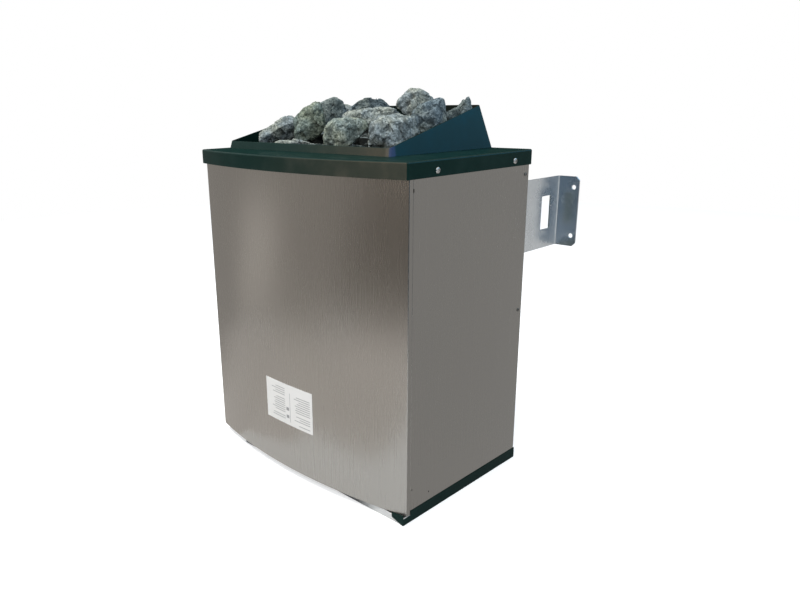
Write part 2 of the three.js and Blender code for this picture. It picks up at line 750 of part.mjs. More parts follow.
function wallBracket() {
  const s = BRACKET_SHEET;
  const inner = ARM_X - s;
  const tip = ARM_X + FLANGE_REACH;
  const half = [
    [ARM_X, WEB_Y],
    [ARM_X, WALL_Y - s],
    [tip, WALL_Y - s],
    [tip, WALL_Y],
    [inner, WALL_Y],
    [inner, WEB_Y + s],
  ];
  const mirrored = half.map(([x, y]) => [-x, y]).reverse();
  const hat = solidOf(extrudeUp(polygon([...half, ...mirrored]), BRACKET_BOTTOM, BRACKET_TOP));
  const c = FLANGE_CHAMFER;
  const silhouette = polygon([
    [-tip + c, BRACKET_BOTTOM],
    [tip - c, BRACKET_BOTTOM],
    [tip, BRACKET_BOTTOM + c],
    [tip, BRACKET_TOP - c],
    [tip - c, BRACKET_TOP],
    [-tip + c, BRACKET_TOP],
    [-tip, BRACKET_TOP - c],
    [-tip, BRACKET_BOTTOM + c],
  ]);
  const trimmed = hat.intersect(solidOf(extrudeBack(silhouette, WEB_Y - OVERCUT, WALL_Y + OVERCUT)));
  const reach = ARM_X + OVERCUT;
  const windows = box(-reach, reach, WINDOW.front, WINDOW.rear, WINDOW.bottom, WINDOW.top);
  const wallHoles = [-1, 1].flatMap((side) => {
    const heights = [BRACKET_BOTTOM + WALL_HOLE.inset, BRACKET_TOP - WALL_HOLE.inset];
    const front = WALL_Y - s - OVERCUT;
    return heights.map((z) => rodAlongY(WALL_HOLE.radius, front, WALL_Y + OVERCUT, side * WALL_HOLE.x, z));
  });
  return cut(trimmed, windows, ...wallHoles);
}

function hangerHook(side) {
  const s = HOOK.sheet;
  const plateFront = REAR_PANEL_Y + CASE_SHEET + GAP;
  const under = BRACKET_TOP + GAP;
  const lipFront = WEB_Y + BRACKET_SHEET + GAP;
  const profile = polygon([
    [plateFront, HOOK.bottom],
    [plateFront + s, HOOK.bottom],
    [plateFront + s, under],
    [lipFront, under],
    [lipFront, BRACKET_TOP - HOOK.lip],
    [lipFront + s, BRACKET_TOP - HOOK.lip],
    [lipFront + s, under + s],
    [plateFront, under + s],
  ]);
  const x = side * HOOK.x;
  return extrudeAcross(profile, x - HOOK.width / 2, x + HOOK.width / 2);
}

// Screws, drawn along +Z and laid over to point at the casing

function screw(spec, faceX, y, z, side) {
  const points = [new THREE.Vector2(0, -spec.length), new THREE.Vector2(spec.shank, -spec.length)];
  points.push(new THREE.Vector2(spec.shank, 0));
  for (let k = 0; k <= SCREW_DOME_STEPS; k += 1) {
    const angle = (k / SCREW_DOME_STEPS) * (Math.PI / 2);
    const radius = k === SCREW_DOME_STEPS ? 0 : spec.headRadius * Math.cos(angle);
    points.push(new THREE.Vector2(radius, spec.headHeight * Math.sin(angle)));
  }
  const geometry = new THREE.LatheGeometry(points, SCREW_SIDES);
  geometry.rotateZ(side > 0 ? -Math.PI / 2 : Math.PI / 2);
  geometry.translate(side * (faceX + GAP), y, z);
  return solidOf(geometry);
}

// Stones: lumps trimmed where they bed against each other, the hood and the grate

// A linear congruential generator, so that every build gives the same stones
function seededRandom(seed) {
  const multiplier = 1664525;
  const increment = 1013904223;
  const period = 2 ** 32;
  let state = seed * 40503 + 12345;
  return () => {
    state = (Math.imul(state, multiplier) + increment) >>> 0;
    return state / period;
  };
}

// An outline run through in three steps, its ends drawn in and pushed a little aside
function stoneLump(face, thick, at, seed) {
  const random = seededRandom(seed);
  const settings = { depth: thick, steps: STONE_STEPS, bevelEnabled: false };
  const geometry = new THREE.ExtrudeGeometry(polygon(face), settings);
  const skew = () => STONE_SKEW * (2 * random() - 1);
  const farAside = [skew(), skew()];
  const nearAside = [skew(), skew()];
  const position = geometry.attributes.position;
  for (let k = 0; k < position.count; k += 1) {
    const step = Math.round((STONE_STEPS * position.getZ(k)) / thick);
    if (step > 0 && step < STONE_STEPS) continue;
    const [across, rise] = step === 0 ? farAside : nearAside;
    position.setX(k, position.getX(k) * STONE_END_SCALE + across);
    position.setY(k, position.getY(k) * STONE_END_SCALE + rise);
  }
  const facing = THREE.MathUtils.degToRad(STONE_FACING);
  const right = new THREE.Vector3(Math.cos(facing), Math.sin(facing), 0);
  const up = new THREE.Vector3(0, 0, 1);
  const near = right.clone().cross(up);
  geometry.translate(0, 0, -thick / 2);
  geometry.applyMatrix4(new THREE.Matrix4().makeBasis(right, up, near));
  geometry.translate(...at);
  return geometry;
}

function bedOutline([width, , height], seed) {
  const random = seededRandom(seed);
  return Array.from({ length: BED_SIDES }, (_, k) => {
    const angle = (2 * Math.PI * (k + BED_JITTER * random())) / BED_SIDES;
    return [(width / 2) * Math.cos(angle), (height / 2) * Math.sin(angle)];
  });
}

function looseStones() {
  const shown = Object.entries(STONES).map(([name, { at, thick, face }], k) => {
    return { name, at, firmness: SHOWN_FIRMNESS, geometry: stoneLump(face, thick, at, k + 1) };
  });
  const bed = BED_STONES.map(({ at, size }, k) => {
    const geometry = stoneLump(bedOutline(size, BED_OUTLINE_SEED + k), size[1], at, BED_LUMP_SEED + k);
    return { name: `stone_bed_${k + 1}`, at, firmness: BED_FIRMNESS, geometry };
  });
  return [...shown, ...bed].map((stone) => ({
    ...stone,
    centre: new THREE.Vector3(...stone.at),
    solid: solidOf(stone.geometry),
  }));
}

// How far a stone reaches from its centre in one direction
function stoneReach(stone, direction) {
  const position = stone.geometry.attributes.position;
  const corner = new THREE.Vector3();
  let reach = 0;
  for (let k = 0; k < position.count; k += 1) {
    corner.fromBufferAttribute(position, k).sub(stone.centre);
    reach = Math.max(reach, corner.dot(direction));
  }
  return reach;
}

// Everything on the far side of a plane, as one large block
function beyond(point, normal) {
  const up = new THREE.Vector3(0, 0, 1);
  const geometry = new THREE.BoxGeometry(HALF_SPACE, HALF_SPACE, HALF_SPACE);
  geometry.translate(0, 0, HALF_SPACE / 2);
  geometry.applyQuaternion(new THREE.Quaternion().setFromUnitVectors(up, normal));
  geometry.translate(point.x, point.y, point.z);
  return solidOf(geometry);
}

function touching(stone, other) {
  return stone.solid.intersect(other.solid).volume() > 0;
}

function trimmedStone(stone, stones, room) {
  let lump = stone.solid.intersect(room);
  for (const other of stones) {
    if (other === stone || !touching(stone, other)) continue;
    const toOther = other.centre.clone().sub(stone.centre);
    const distance = toOther.length();
    const normal = toOther.divideScalar(distance);
    const push = stone.firmness * stoneReach(stone, normal);
    const counter = other.firmness * stoneReach(other, normal.clone().negate());
    const share = (distance * push) / (push + counter) - STONE_GAP / 2;
    lump = cut(lump, beyond(stone.centre.clone().addScaledVector(normal, share), normal));
  }
  return lump;
}

function roomForStones() {
  const inHood = hoodShell(HOOD_FLANGE + STONE_GAP, HOOD_BOTTOM, HOOD_BOTTOM + STONE_RISE);
  const inLiner = box(
    MOUTH.left + STONE_GAP, MOUTH.right - STONE_GAP, MOUTH.front + STONE_GAP, MOUTH.rear - STONE_GAP,
    GRATE_TOP + GAP, HOOD_BOTTOM,
  );
  return join(inHood, inLiner);
}

// Assembly

addPart('front_panel', frontPanel(), STEEL);
addPart('rear_panel', rearPanel(), GALVANISED);
addPart('top_frame', topFrame(), TEAL);
addPart('stone_hood', stoneHood(), TEAL);
addPart('base_pan', basePan(), GALVANISED);
for (const [word, side] of [['left', -1], ['right', 1]]) {
  addPart(`${word}_side_panel`, sidePanel(side), STEEL);
  addPart(`${word}_base_skirt`, baseSkirt(side), TEAL);
  addPart(`${word}_hanger_hook`, hangerHook(side), GALVANISED);
  RIM_SCREW.ys.forEach((y, k) => {
    const name = `rim_screw_${word}_${['front', 'rear'][k]}`;
    addPart(name, screw(RIM_SCREW, RIM_HALF_WIDTH, y, RIM_SCREW.z, side), SCREW_STEEL);
  });
  SIDE_SCREW.zs.forEach((z, k) => {
    const name = `side_screw_${word}_${['lower', 'upper'][k]}`;
    addPart(name, screw(SIDE_SCREW, PANEL_HALF_WIDTH, SIDE_SCREW.y, z, side), SCREW_STEEL);
  });
}
addPart('left_grate_rail', grateRail(LINER.left, 1), SHIELD_STEEL);
addPart('right_grate_rail', grateRail(LINER.right, -1), SHIELD_STEEL);
addPart('inner_liner', innerLiner(), SHIELD_STEEL);
addPart('front_heat_shield', frontHeatShield(), SHIELD_STEEL);
addPart('stone_grate', stoneGrate(), SHIELD_STEEL);
ELEMENT_ROWS.forEach((y, k) => {
  const element = tube(elementCurve(y), ELEMENT_RADIUS, ELEMENT_SIDES, ELEMENT_STEPS);
  addPart(`heating_element_${k + 1}`, element, ELEMENT_STEEL);
  addPart(`phase_wire_${k + 1}`, phaseWire(k), WIRE);
});
addPart('element_flange', elementFlange(), SHIELD_STEEL);
addPart('element_support', elementSupport(), SHIELD_STEEL);
addPart('star_link', starLink(), BRASS);
addPart('terminal_block', terminalBlock(), CERAMIC);
addPart('terminal_bracket', terminalBracket(), GALVANISED);
addPart('earth_stud', earthStud(), BRASS);
addPart('cable_gland', cableGland(), PLASTIC);
addPart('gland_nut', glandNut(), PLASTIC);
addPart('wall_bracket', wallBracket(), GALVANISED);
const stones = looseStones();
const room = roomForStones();
for (const stone of stones) {
  addPart(stone.name, trimmedStone(stone, stones, room), STONE);
}

// The origin is under the middle of the whole assembly, from the bowed rim to the wall
const rimFront = -RIM_FRONT_OVERHANG - FRONT_BOW;
stove.position.y = -(rimFront + WALL_Y) / 2;

export default stove;
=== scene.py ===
"""Looks of a wall-hung sauna heater stove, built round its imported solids.

Sizes in the classes are millimetres in the maker's own axes: x to the right, y back from the casing's
front corners and z up from under the base. place() turns them into metres in the row's frame.
"""

import logging
import math
from dataclasses import dataclass, field
from enum import Enum
from typing import Any, Callable, Sequence

import bmesh
import bpy
import numpy as np
from mathutils import Matrix, Vector


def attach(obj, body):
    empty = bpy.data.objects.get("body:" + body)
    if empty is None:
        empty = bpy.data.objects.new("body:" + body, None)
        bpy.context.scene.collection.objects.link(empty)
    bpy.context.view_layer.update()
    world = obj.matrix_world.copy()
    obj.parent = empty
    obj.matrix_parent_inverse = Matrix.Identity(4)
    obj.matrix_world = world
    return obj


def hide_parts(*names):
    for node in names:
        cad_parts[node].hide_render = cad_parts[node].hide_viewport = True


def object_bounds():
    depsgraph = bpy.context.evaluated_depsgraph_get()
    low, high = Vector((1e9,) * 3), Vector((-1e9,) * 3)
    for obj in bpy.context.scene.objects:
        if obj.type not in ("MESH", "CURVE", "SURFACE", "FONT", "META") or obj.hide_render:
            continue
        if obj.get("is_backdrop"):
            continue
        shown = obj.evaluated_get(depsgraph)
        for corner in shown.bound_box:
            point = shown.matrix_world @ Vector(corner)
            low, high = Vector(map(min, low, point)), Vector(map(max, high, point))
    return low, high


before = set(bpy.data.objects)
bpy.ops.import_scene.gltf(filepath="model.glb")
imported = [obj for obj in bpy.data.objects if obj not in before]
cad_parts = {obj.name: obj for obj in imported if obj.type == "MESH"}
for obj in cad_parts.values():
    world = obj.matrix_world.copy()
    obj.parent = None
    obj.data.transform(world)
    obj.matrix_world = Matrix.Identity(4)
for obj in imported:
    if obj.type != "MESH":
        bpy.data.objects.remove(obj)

CAD_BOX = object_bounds()
LOG = logging.getLogger("stove")

MM = 0.001
ROW_BACK = 161.95

# Smallest gaps, in metres and in millimetres.
MERGE = 0.00001
SLIVER = 0.01

# Edges that stay creased, corners of a bent sheet that stay unrounded, and faces that count as one.
SHARP = math.radians(32)
STRAIGHT = math.radians(10)
LEVEL = math.radians(1)

# Most of a sheet's leg that one bend takes up.
LEG_SHARE = 0.49

Colour = tuple[float, float, float]
Point = tuple[float, float, float]
Flat = tuple[float, float]
Box = tuple[float, float, float, float]


def place(x: float, y: float, z: float) -> Vector:
    """Row-frame metres for a point in the maker's millimetres."""
    return Vector((x * MM, (y - ROW_BACK) * MM, z * MM))


class Slot(Enum):
    """Material slots of the record."""

    STEEL = "brushed_steel"
    PAINT = "teal_paint"
    ZINC = "galvanised"
    SCREW = "screw_steel"
    LINER = "liner_steel"
    ELEMENT = "element_steel"
    SLEEVE = "wire_sleeve"
    BRASS = "brass"
    CERAMIC = "terminal_ceramic"
    PLASTIC = "black_plastic"
    STONE = "stove_stone"


class Side(Enum):
    """Left or right, as someone facing the stove sees it."""

    LEFT = -1
    RIGHT = 1

    @property
    def word(self) -> str:
        """The side's name as the nodes spell it."""
        return self.name.lower()


class Cap(Enum):
    """Which openings of a skin are closed: none, its first and last rows, or its rows' ends."""

    NONE = "none"
    ROWS = "rows"
    ENDS = "ends"


class Run(Enum):
    """Which way a section is run: up, across, back, or up from the origin as a template."""

    UP = "up"
    ACROSS = "across"
    BACK = "back"
    TEMPLATE = "template"

    def place(self, u: float, v: float, w: float) -> Vector:
        """A section's point, some way along its run.

        Args:
            u: The point's first measure.
            v: The point's second measure.
            w: How far along the run.

        Returns:
            The point in metres.
        """
        if self is Run.TEMPLATE:
            return Vector((u * MM, v * MM, w * MM))
        spots = {Run.UP: (u, v, w), Run.ACROSS: (w, u, v), Run.BACK: (u, w, v)}
        return place(*spots[self])


class StoneTone(Enum):
    """Rock colours in the pile: dark, middle and pale."""

    GREEN = ((0.070, 0.081, 0.068), (0.210, 0.236, 0.202), (0.43, 0.46, 0.405))
    OLIVE = ((0.050, 0.062, 0.049), (0.166, 0.194, 0.160), (0.35, 0.385, 0.33))
    GREY = ((0.072, 0.083, 0.081), (0.228, 0.250, 0.240), (0.46, 0.49, 0.47))
    BLUE = ((0.040, 0.054, 0.058), (0.128, 0.156, 0.164), (0.31, 0.35, 0.355))
    SLATE = ((0.023, 0.031, 0.033), (0.074, 0.093, 0.097), (0.20, 0.23, 0.232))
    # Bed stones: their steep flanks get painted shade.
    SOOTED = ((0.048, 0.056, 0.053), (0.150, 0.168, 0.160), (0.34, 0.365, 0.35))


# Node trees


def operator(operation: str, swapped: bool = False) -> Callable[["Field", Any], "Field"]:
    """Makes a method of Field that adds a Math node.

    Args:
        operation: Blender's name of the operation.
        swapped: Whether the other value comes first.

    Returns:
        The method.
    """

    def work(self: "Field", other: "Field | float") -> "Field":
        """Adds the node."""
        return self.tree.math(operation, *((other, self) if swapped else (self, other)))

    return work


class Field:
    """An output socket that Python's operators work on."""

    __add__, __radd__ = operator("ADD"), operator("ADD", True)
    __sub__, __rsub__ = operator("SUBTRACT"), operator("SUBTRACT", True)
    __mul__, __rmul__ = operator("MULTIPLY"), operator("MULTIPLY", True)
    __rtruediv__ = operator("DIVIDE", True)
    __gt__, __lt__ = operator("GREATER_THAN"), operator("LESS_THAN")
    at_least, at_most = operator("MAXIMUM"), operator("MINIMUM")

    def __init__(self, tree: "NodeTree", node: bpy.types.Node, key: int | str) -> None:
        """Keeps the node and which of its outputs is meant.

        Args:
            tree: The tree that the node is in.
            node: Blender's node.
            key: The output's index or name.
        """
        self.tree = tree
        self.node = node
        self.key = key

    @property
    def socket(self) -> bpy.types.NodeSocket:
        """The Blender socket."""
        return self.node.outputs[self.key]

    def out(self, key: int | str) -> "Field":
        """Another output of the same node."""
        return Field(self.tree, self.node, key)

    def fraction(self) -> "Field":
        """The part after the decimal point."""
        return self.tree.math("FRACT", self)

    def whole(self) -> "Field":
        """The whole number below."""
        return self.tree.math("FLOOR", self)

    def between(self, low: "Field | float", high: "Field | float") -> "Field":
        """1 from low to high and 0 elsewhere."""
        return (self > low) * (self < high)

    def eased(self, low: float, high: float) -> "Field":
        """A smooth step from 0 at low to 1 at high."""
        settings = {"interpolation_type": "SMOOTHSTEP"}
        return self.tree.add("ShaderNodeMapRange", settings, {0: self, 1: low, 2: high})


Value = Field | float


class NodeTree:
    """A node tree that is written as expressions."""

    def __init__(self, tree: bpy.types.NodeTree) -> None:
        """Empties the tree."""
        self.tree = tree
        tree.nodes.clear()

    def add(
        self,
        kind: str,
        settings: dict[str, Any] | None = None,
        sockets: dict[int | str, Any] | None = None,
        output: int | str = 0,
    ) -> Field:
        """Makes a node, sets it up and feeds its sockets.

        Args:
            kind: Blender's node type.
            settings: Node properties; "stops" are a ramp's (position, colour) pairs.
            sockets: Values or Fields by socket index or name.
            output: Which output the returned Field stands for.

        Returns:
            The node's chosen output.
        """
        node = self.tree.nodes.new(kind)
        for name, value in (settings or {}).items():
            if name == "stops":
                self._set_stops(node, value)
            else:
                setattr(node, name, value)
        self.plug(node, sockets or {})
        return Field(self, node, output)

    def plug(self, node: bpy.types.Node, sockets: dict[int | str, Any]) -> None:
        """Sets or links a node's sockets.

        Args:
            node: Blender's node.
            sockets: Values or Fields by socket index or name.
        """
        for key, value in sockets.items():
            if isinstance(value, Field):
                self.tree.links.new(value.socket, node.inputs[key])
            else:
                node.inputs[key].default_value = value

    @staticmethod
    def _set_stops(node: bpy.types.Node, stops: Sequence[tuple[float, Colour]]) -> None:
        """Gives a ramp its stops.

        Args:
            node: The ramp.
            stops: Positions and colours.
        """
        elements = node.color_ramp.elements
        while len(elements) < len(stops):
            elements.new(1.0)
        for element, (position, colour) in zip(elements, stops):
            element.position = position
            element.color = (*colour, 1.0)

    def math(self, operation: str, *values: Value) -> Field:
        """A Math node on the given values."""
        return self.add("ShaderNodeMath", {"operation": operation}, dict(enumerate(values)))

    def vector(self, operation: str, *values: Any, output: int | str = 0) -> Field:
        """A Vector Math node on the given values."""
        return self.add("ShaderNodeVectorMath", {"operation": operation}, dict(enumerate(values)), output)

    def parts(self, vector: Field) -> Field:
        """The x of a vector; y and z are the same node's other outputs."""
        return self.add("ShaderNodeSeparateXYZ", None, {0: vector})

    def noise(self, vector: Field, scale: Value, detail: float = 3.0, roughness: float = 0.55) -> Field:
        """Fractal noise from 0 to 1."""
        sockets = {"Vector": vector, "Scale": scale, "Detail": detail, "Roughness": roughness}
        return self.add("ShaderNodeTexNoise", None, sockets)

    def cells(self, vector: Field, scale: Value) -> Field:
        """Voronoi cells; the first output is the distance."""
        return self.add("ShaderNodeTexVoronoi", None, {"Vector": vector, "Scale": scale})


class Surface(NodeTree):
    """A material with one shader, written as expressions."""

    def __init__(self, name: str) -> None:
        """Starts the material with a Principled shader and its output.

        Args:
            name: The material's name.
        """
        self.material = bpy.data.materials.new(name)
        self.material.use_nodes = True
        super().__init__(self.material.node_tree)
        self.shader = self.add("ShaderNodeBsdfPrincipled")
        self.add("ShaderNodeOutputMaterial", None, {"Surface": self.shader})
        self.spot = self.add("ShaderNodeTexCoord", None, None, "Object")

    def feed(self, **values: Any) -> None:
        """Sets or links the shader's sockets; an underscore stands for a space."""
        self.plug(self.shader.node, {name.replace("_", " "): value for name, value in values.items()})

    def stretched(self, x: float, y: float, z: float) -> Field:
        """Object coordinates scaled along each axis."""
        return self.add("ShaderNodeMapping", None, {"Vector": self.spot, "Scale": (x, y, z)})

    def facing(self) -> Field:
        """The x of the normal; y and z are the same node's other outputs."""
        return self.parts(self.add("ShaderNodeNewGeometry", None, None, "Normal"))

    def stored(self, name: str) -> Field:
        """A value that was stored with the mesh."""
        return self.add("ShaderNodeAttribute", {"attribute_name": name}, None, "Fac")

    def crystals(self, scale: float) -> Field:
        """A shade of its own for every cell."""
        colours = self.cells(self.spot, scale).out("Color")
        return self.add("ShaderNodeSeparateColor", None, {0: colours})

    def mix(self, share: Value, low: Any, high: Any, blend: str = "MIX") -> Field:
        """A colour between two colours.

        Args:
            share: How much of high.
            low: Colour or Field at 0.
            high: Colour or Field at 1.
            blend: Blender's blend type.

        Returns:
            The mixed colour.
        """
        low = (*low, 1.0) if isinstance(low, tuple) else low
        high = (*high, 1.0) if isinstance(high, tuple) else high
        settings = {"data_type": "RGBA", "blend_type": blend}
        return self.add("ShaderNodeMix", settings, {0: share, 6: low, 7: high}, 2)

    def ramp(self, value: Field, *stops: tuple[float, Colour]) -> Field:
        """A colour ramp on a value."""
        return self.add("ShaderNodeValToRGB", {"stops": stops}, {0: value})

    def bump(self, height: Field, depth: float, strength: float) -> Field:
        """A normal from a height of that many metres."""
        sockets = {"Strength": strength, "Distance": depth, "Height": height}
        return self.add("ShaderNodeBump", None, sockets)


def shaded(colour: Colour, share: float) -> Colour:
    """A colour made darker or lighter by a factor."""
    return tuple(min(1.0, part * share) for part in colour)


# Finishes


@dataclass(frozen=True)
class Finish:
    """What a surface is covered with or made of."""

    name: str

    def lay(self, surface: Surface) -> None:
        """Writes the finish into the surface's nodes."""
        raise NotImplementedError

    def material(self) -> bpy.types.Material:
        """The finish as a Blender material.

        Returns:
            The material.
        """
        surface = Surface(self.name)
        self.lay(surface)
        return surface.material


@dataclass(frozen=True)
class BrushedSheet(Finish):
    """Stainless sheet with a fine upright grain and faint handling marks."""

    tone: Colour = (0.375, 0.355, 0.330)
    roughness: float = 0.27
    streak: float = 0.032

    def lay(self, surface: Surface) -> None:
        """Streaks along z, and a slow cloud over them.

        Args:
            surface: The material's nodes.
        """
        streaks = surface.noise(surface.stretched(1, 1, 0.007), 950, 3)
        cloud = surface.noise(surface.spot, 7, 3)
        shade = 0.6 * streaks + 0.4 * cloud
        dark = shaded(self.tone, 1 - 2 * self.streak)
        light = shaded(self.tone, 1 + 2 * self.streak)
        surface.feed(
            Base_Color=surface.mix(shade, dark, light),
            Metallic=1.0,
            Roughness=self.roughness + 0.06 * (streaks - 0.5) + 0.08 * (cloud - 0.5),
            Normal=surface.bump(streaks, 0.00004, 0.28),
        )


@dataclass(frozen=True)
class HeatPaint(Finish):
    """Dark heat-proof paint with a fine pebbled skin."""

    tone: Colour = (0.0030, 0.0168, 0.0140)
    # Painted top light on faces that lean back, with some dust in the random patches.
    dusty: Colour = (0.0220, 0.0420, 0.0380)
    # Painted warm reflection on the upper right of faces that point forward.
    tanned: Colour = (0.066, 0.060, 0.045)
    # Painted blue reflection on the right faces that lean back.
    blued: Colour = (0.0105, 0.0530, 0.0740)
    # Painted highlight at the collar's front right corner: warm on its front, cool on its right.
    rubbed: Colour = (0.17, 0.145, 0.12)
    bluish: Colour = (0.11, 0.14, 0.36)
    # Where the painted corner highlight is centred.
    corner: Point = (0.1435, -0.1215, 0.0)
    roughness: float = 0.30

    def lay(self, surface: Surface) -> None:
        """A pebbled bump, dust and painted top light on what leans back, painted reflections and a painted
        highlight at a corner.

        A painted warm reflection lies on the upper right of what faces forward and a painted blue reflection
        on what leans back on the right.

        Args:
            surface: The material's nodes.
        """
        pebbles = surface.noise(surface.spot, 1100, 2)
        patches = surface.noise(surface.spot, 26, 4).eased(0.42, 0.72)
        right = surface.facing()
        back, up = right.out(1), right.out(2)
        across = surface.parts(surface.spot)
        lean = up.eased(0.05, 0.12) * up.eased(0.9, 0.7)
        # Painted warm reflection: the upper right of what faces forward.
        warm_reflection_area = across.eased(-0.09, 0.21) * across.out(2).eased(0.2, 0.3)
        tan = back.eased(-0.75, -0.95) * warm_reflection_area * (0.55 + 0.4 * patches + 0.35 * lean)
        # Painted blue reflection on right faces that lean back.
        blue = right.eased(0.90, 0.985) * lean * (0.8 + 0.2 * patches)
        # Painted highlight within a few millimetres of the collar's front right corner.
        away = surface.vector("DISTANCE", surface.stretched(1, 1, 0), self.corner, output="Value")
        corner_highlight = surface.mix(right.eased(0.3, 0.8), self.rubbed, self.bluish)
        # Painted top light on faces that lean back, mixed with dust in the random patches.
        fresh = surface.mix(0.6 * lean + 0.2 * patches, self.tone, self.dusty)
        # The paint with its painted warm and blue reflections.
        with_painted_reflections = surface.mix(blue, surface.mix(tan, fresh, self.tanned), self.blued)
        surface.feed(
            # The painted corner highlight lies over the paint on leaning faces.
            Base_Color=surface.mix(0.35 * away.eased(0.0105, 0.0055) * lean, with_painted_reflections, corner_highlight),
            Roughness=self.roughness + 0.10 * patches + 0.06 * (pebbles - 0.5),
            Normal=surface.bump(pebbles, 0.00008, 0.35),
            Specular_IOR_Level=0.05,
        )


@dataclass(frozen=True)
class ZincCoat(Finish):
    """Zinc-coated sheet with its spangle."""

    tone: Colour = (0.92, 0.95, 0.975)
    roughness: float = 0.26
    metal: float = 1.0
    # How much painted shade darkens the middle, under the bowed front.
    soiled: float = 0.0
    spangle: float = 190

    def lay(self, surface: Surface) -> None:
        """Crystal cells that differ in shade and gloss, with painted shade toward the middle of the stove,
        under the bowed front.

        Args:
            surface: The material's nodes.
        """
        shade = surface.crystals(self.spangle)
        stain = surface.noise(surface.spot, 18, 1).eased(0.40, 0.75)
        clean = surface.mix(shade, shaded(self.tone, 0.97), shaded(self.tone, 1.03))
        stained = surface.mix(0.20 * stain, clean, shaded(self.tone, 0.62))
        across = surface.parts(surface.spot)
        # Painted shade where the bowed front overhangs the middle of the base.
        inner = across.eased(0.172, 0.118) * across.eased(-0.172, -0.118)
        surface.feed(
            Base_Color=surface.mix(self.soiled * inner, stained, shaded(self.tone, 0.10)),
            Metallic=self.metal,
            Roughness=self.roughness + 0.01 * (shade - 0.5) + 0.03 * stain,
        )


@dataclass(frozen=True)
class WornMetal(Finish):
    """Plain metal with a clouded tarnish: screws, liner, element tubes and brass."""

    tone: Colour
    tarnish: Colour
    roughness: float
    cloud: float
    tarnished: float

    def lay(self, surface: Surface) -> None:
        """Clouds of tarnish and a fine scratch bump.

        Args:
            surface: The material's nodes.
        """
        clouds = surface.noise(surface.spot, self.cloud, 4).eased(0.35, 0.75)
        scratches = surface.noise(surface.stretched(1, 1, 0.2), 900, 2)
        surface.feed(
            Base_Color=surface.mix(self.tarnished * clouds, self.tone, self.tarnish),
            Metallic=1.0,
            Roughness=self.roughness + 0.18 * clouds + 0.05 * (scratches - 0.5),
            Normal=surface.bump(scratches, 0.00004, 0.4),
        )


@dataclass(frozen=True)
class Dielectric(Finish):
    """Sleeves, ceramic and moulded plastic with a mottled skin."""

    tone: Colour
    mottle: Colour
    roughness: float
    skin: float = 700

    def lay(self, surface: Surface) -> None:
        """Mottled colour with a fine skin.

        Args:
            surface: The material's nodes.
        """
        grain = surface.noise(surface.spot, self.skin, 3)
        patches = surface.noise(surface.spot, 45, 3)
        surface.feed(
            Base_Color=surface.mix(0.5 * grain + 0.5 * patches, self.mottle, self.tone),
            Roughness=self.roughness + 0.12 * (grain - 0.5),
            Normal=surface.bump(grain, 0.00008, 0.35),
        )


@dataclass(frozen=True)
class SplitRock(Finish):
    """Rough split rock: mottled mineral grains, pale flecks and painted shade in its hollows."""

    tone: StoneTone
    warm: Colour = (1.05, 1.03, 0.94)
    cool: Colour = (0.89, 0.96, 1.04)
    roughness: float = 0.88

    @property
    def soot(self) -> float:
        """How much painted shade lies on the steep flanks."""
        return 1.0 if self.tone is StoneTone.SOOTED else 0.0

    def lay(self, surface: Surface) -> None:
        """Blotches, grains, flecks, the facets and the painted crevice shade stored with the mesh, and
        painted shade on steep flanks.

        Args:
            surface: The material's nodes.
        """
        dark, middle, pale = self.tone.value
        blotch = surface.noise(surface.spot, 90, 5, 0.68)
        grains = surface.noise(surface.spot, 330, 5, 0.75)
        crystal = surface.crystals(420)
        mineral = 0.18 * blotch + 0.46 * grains + 0.22 * crystal + 0.14 * surface.stored("facet")
        body = surface.ramp(mineral, (0.34, dark), (0.50, middle), (0.68, pale))
        cast = surface.noise(surface.spot, 30, 2).eased(0.38, 0.62)
        tinted = surface.mix(1.0, body, surface.mix(cast, self.warm, self.cool), "MULTIPLY")
        fleck = surface.noise(surface.spot, 400, 2).eased(0.60, 0.70)
        flecked = surface.mix(0.35 * fleck, tinted, pale)
        # Painted crevice shade: deeper points are darker.
        crevice_shaded = surface.mix(0.55 * surface.stored("hollow"), flecked, shaded(dark, 0.7))
        # Painted shade on steep flanks, for the shadowed gaps between the stones.
        flank_shade_mask = surface.facing().out(2).eased(0.96, 0.66)
        surface.feed(
            Base_Color=surface.mix(self.soot * flank_shade_mask, crevice_shaded, shaded(dark, 0.22)),
            Roughness=self.roughness + 0.14 * (grains - 0.5),
            Normal=surface.bump(0.6 * grains + 0.4 * crystal, 0.0007, 0.7),
            Specular_IOR_Level=0.25,
        )


@dataclass(frozen=True)
class RuledPaper(Finish):
    """White paper with plain grey rules in two columns and two plain squares."""

    tone: Colour = (0.735, 0.712, 0.685)
    ink: Colour = (0.05, 0.05, 0.055)
    strength: float = 0.66
    rules: float = 19
    roughness: float = 0.52

    def lay(self, surface: Surface) -> None:
        """Rules of uneven length, drawn in the paper's own UV map.

        Args:
            surface: The material's nodes.
        """
        across = surface.parts(surface.add("ShaderNodeUVMap", {"uv_map": "paper"}))
        up = across.out(1)
        line = up * self.rules
        chance = surface.add("ShaderNodeTexWhiteNoise", {"noise_dimensions": "1D"}, {"W": line.whole()})
        stroke = line.fraction().between(0.34, 0.66) * up.between(0.07, 0.90)
        left = across.between(0.30 - 0.18 * chance, 0.43) * (chance > 0.22)
        right = across.between(0.74 - 0.14 * chance, 0.95) * (chance < 0.86) * (up < 0.84)
        divider = across.between(0.533, 0.541) * up.between(0.08, 0.80)
        squares = across.between(0.455, 0.515) * (up.between(0.355, 0.435) + up.between(0.165, 0.245))
        printed = (stroke * left.at_least(right)).at_least(divider).at_least(squares)
        fibres = surface.noise(surface.spot, 900, 3)
        paper = surface.mix(fibres, shaded(self.tone, 0.97), shaded(self.tone, 1.02))
        surface.feed(
            Base_Color=surface.mix(self.strength * printed, paper, self.ink),
            Roughness=self.roughness + 0.06 * (fibres - 0.5),
            Normal=surface.bump(fibres, 0.00002, 0.3),
        )


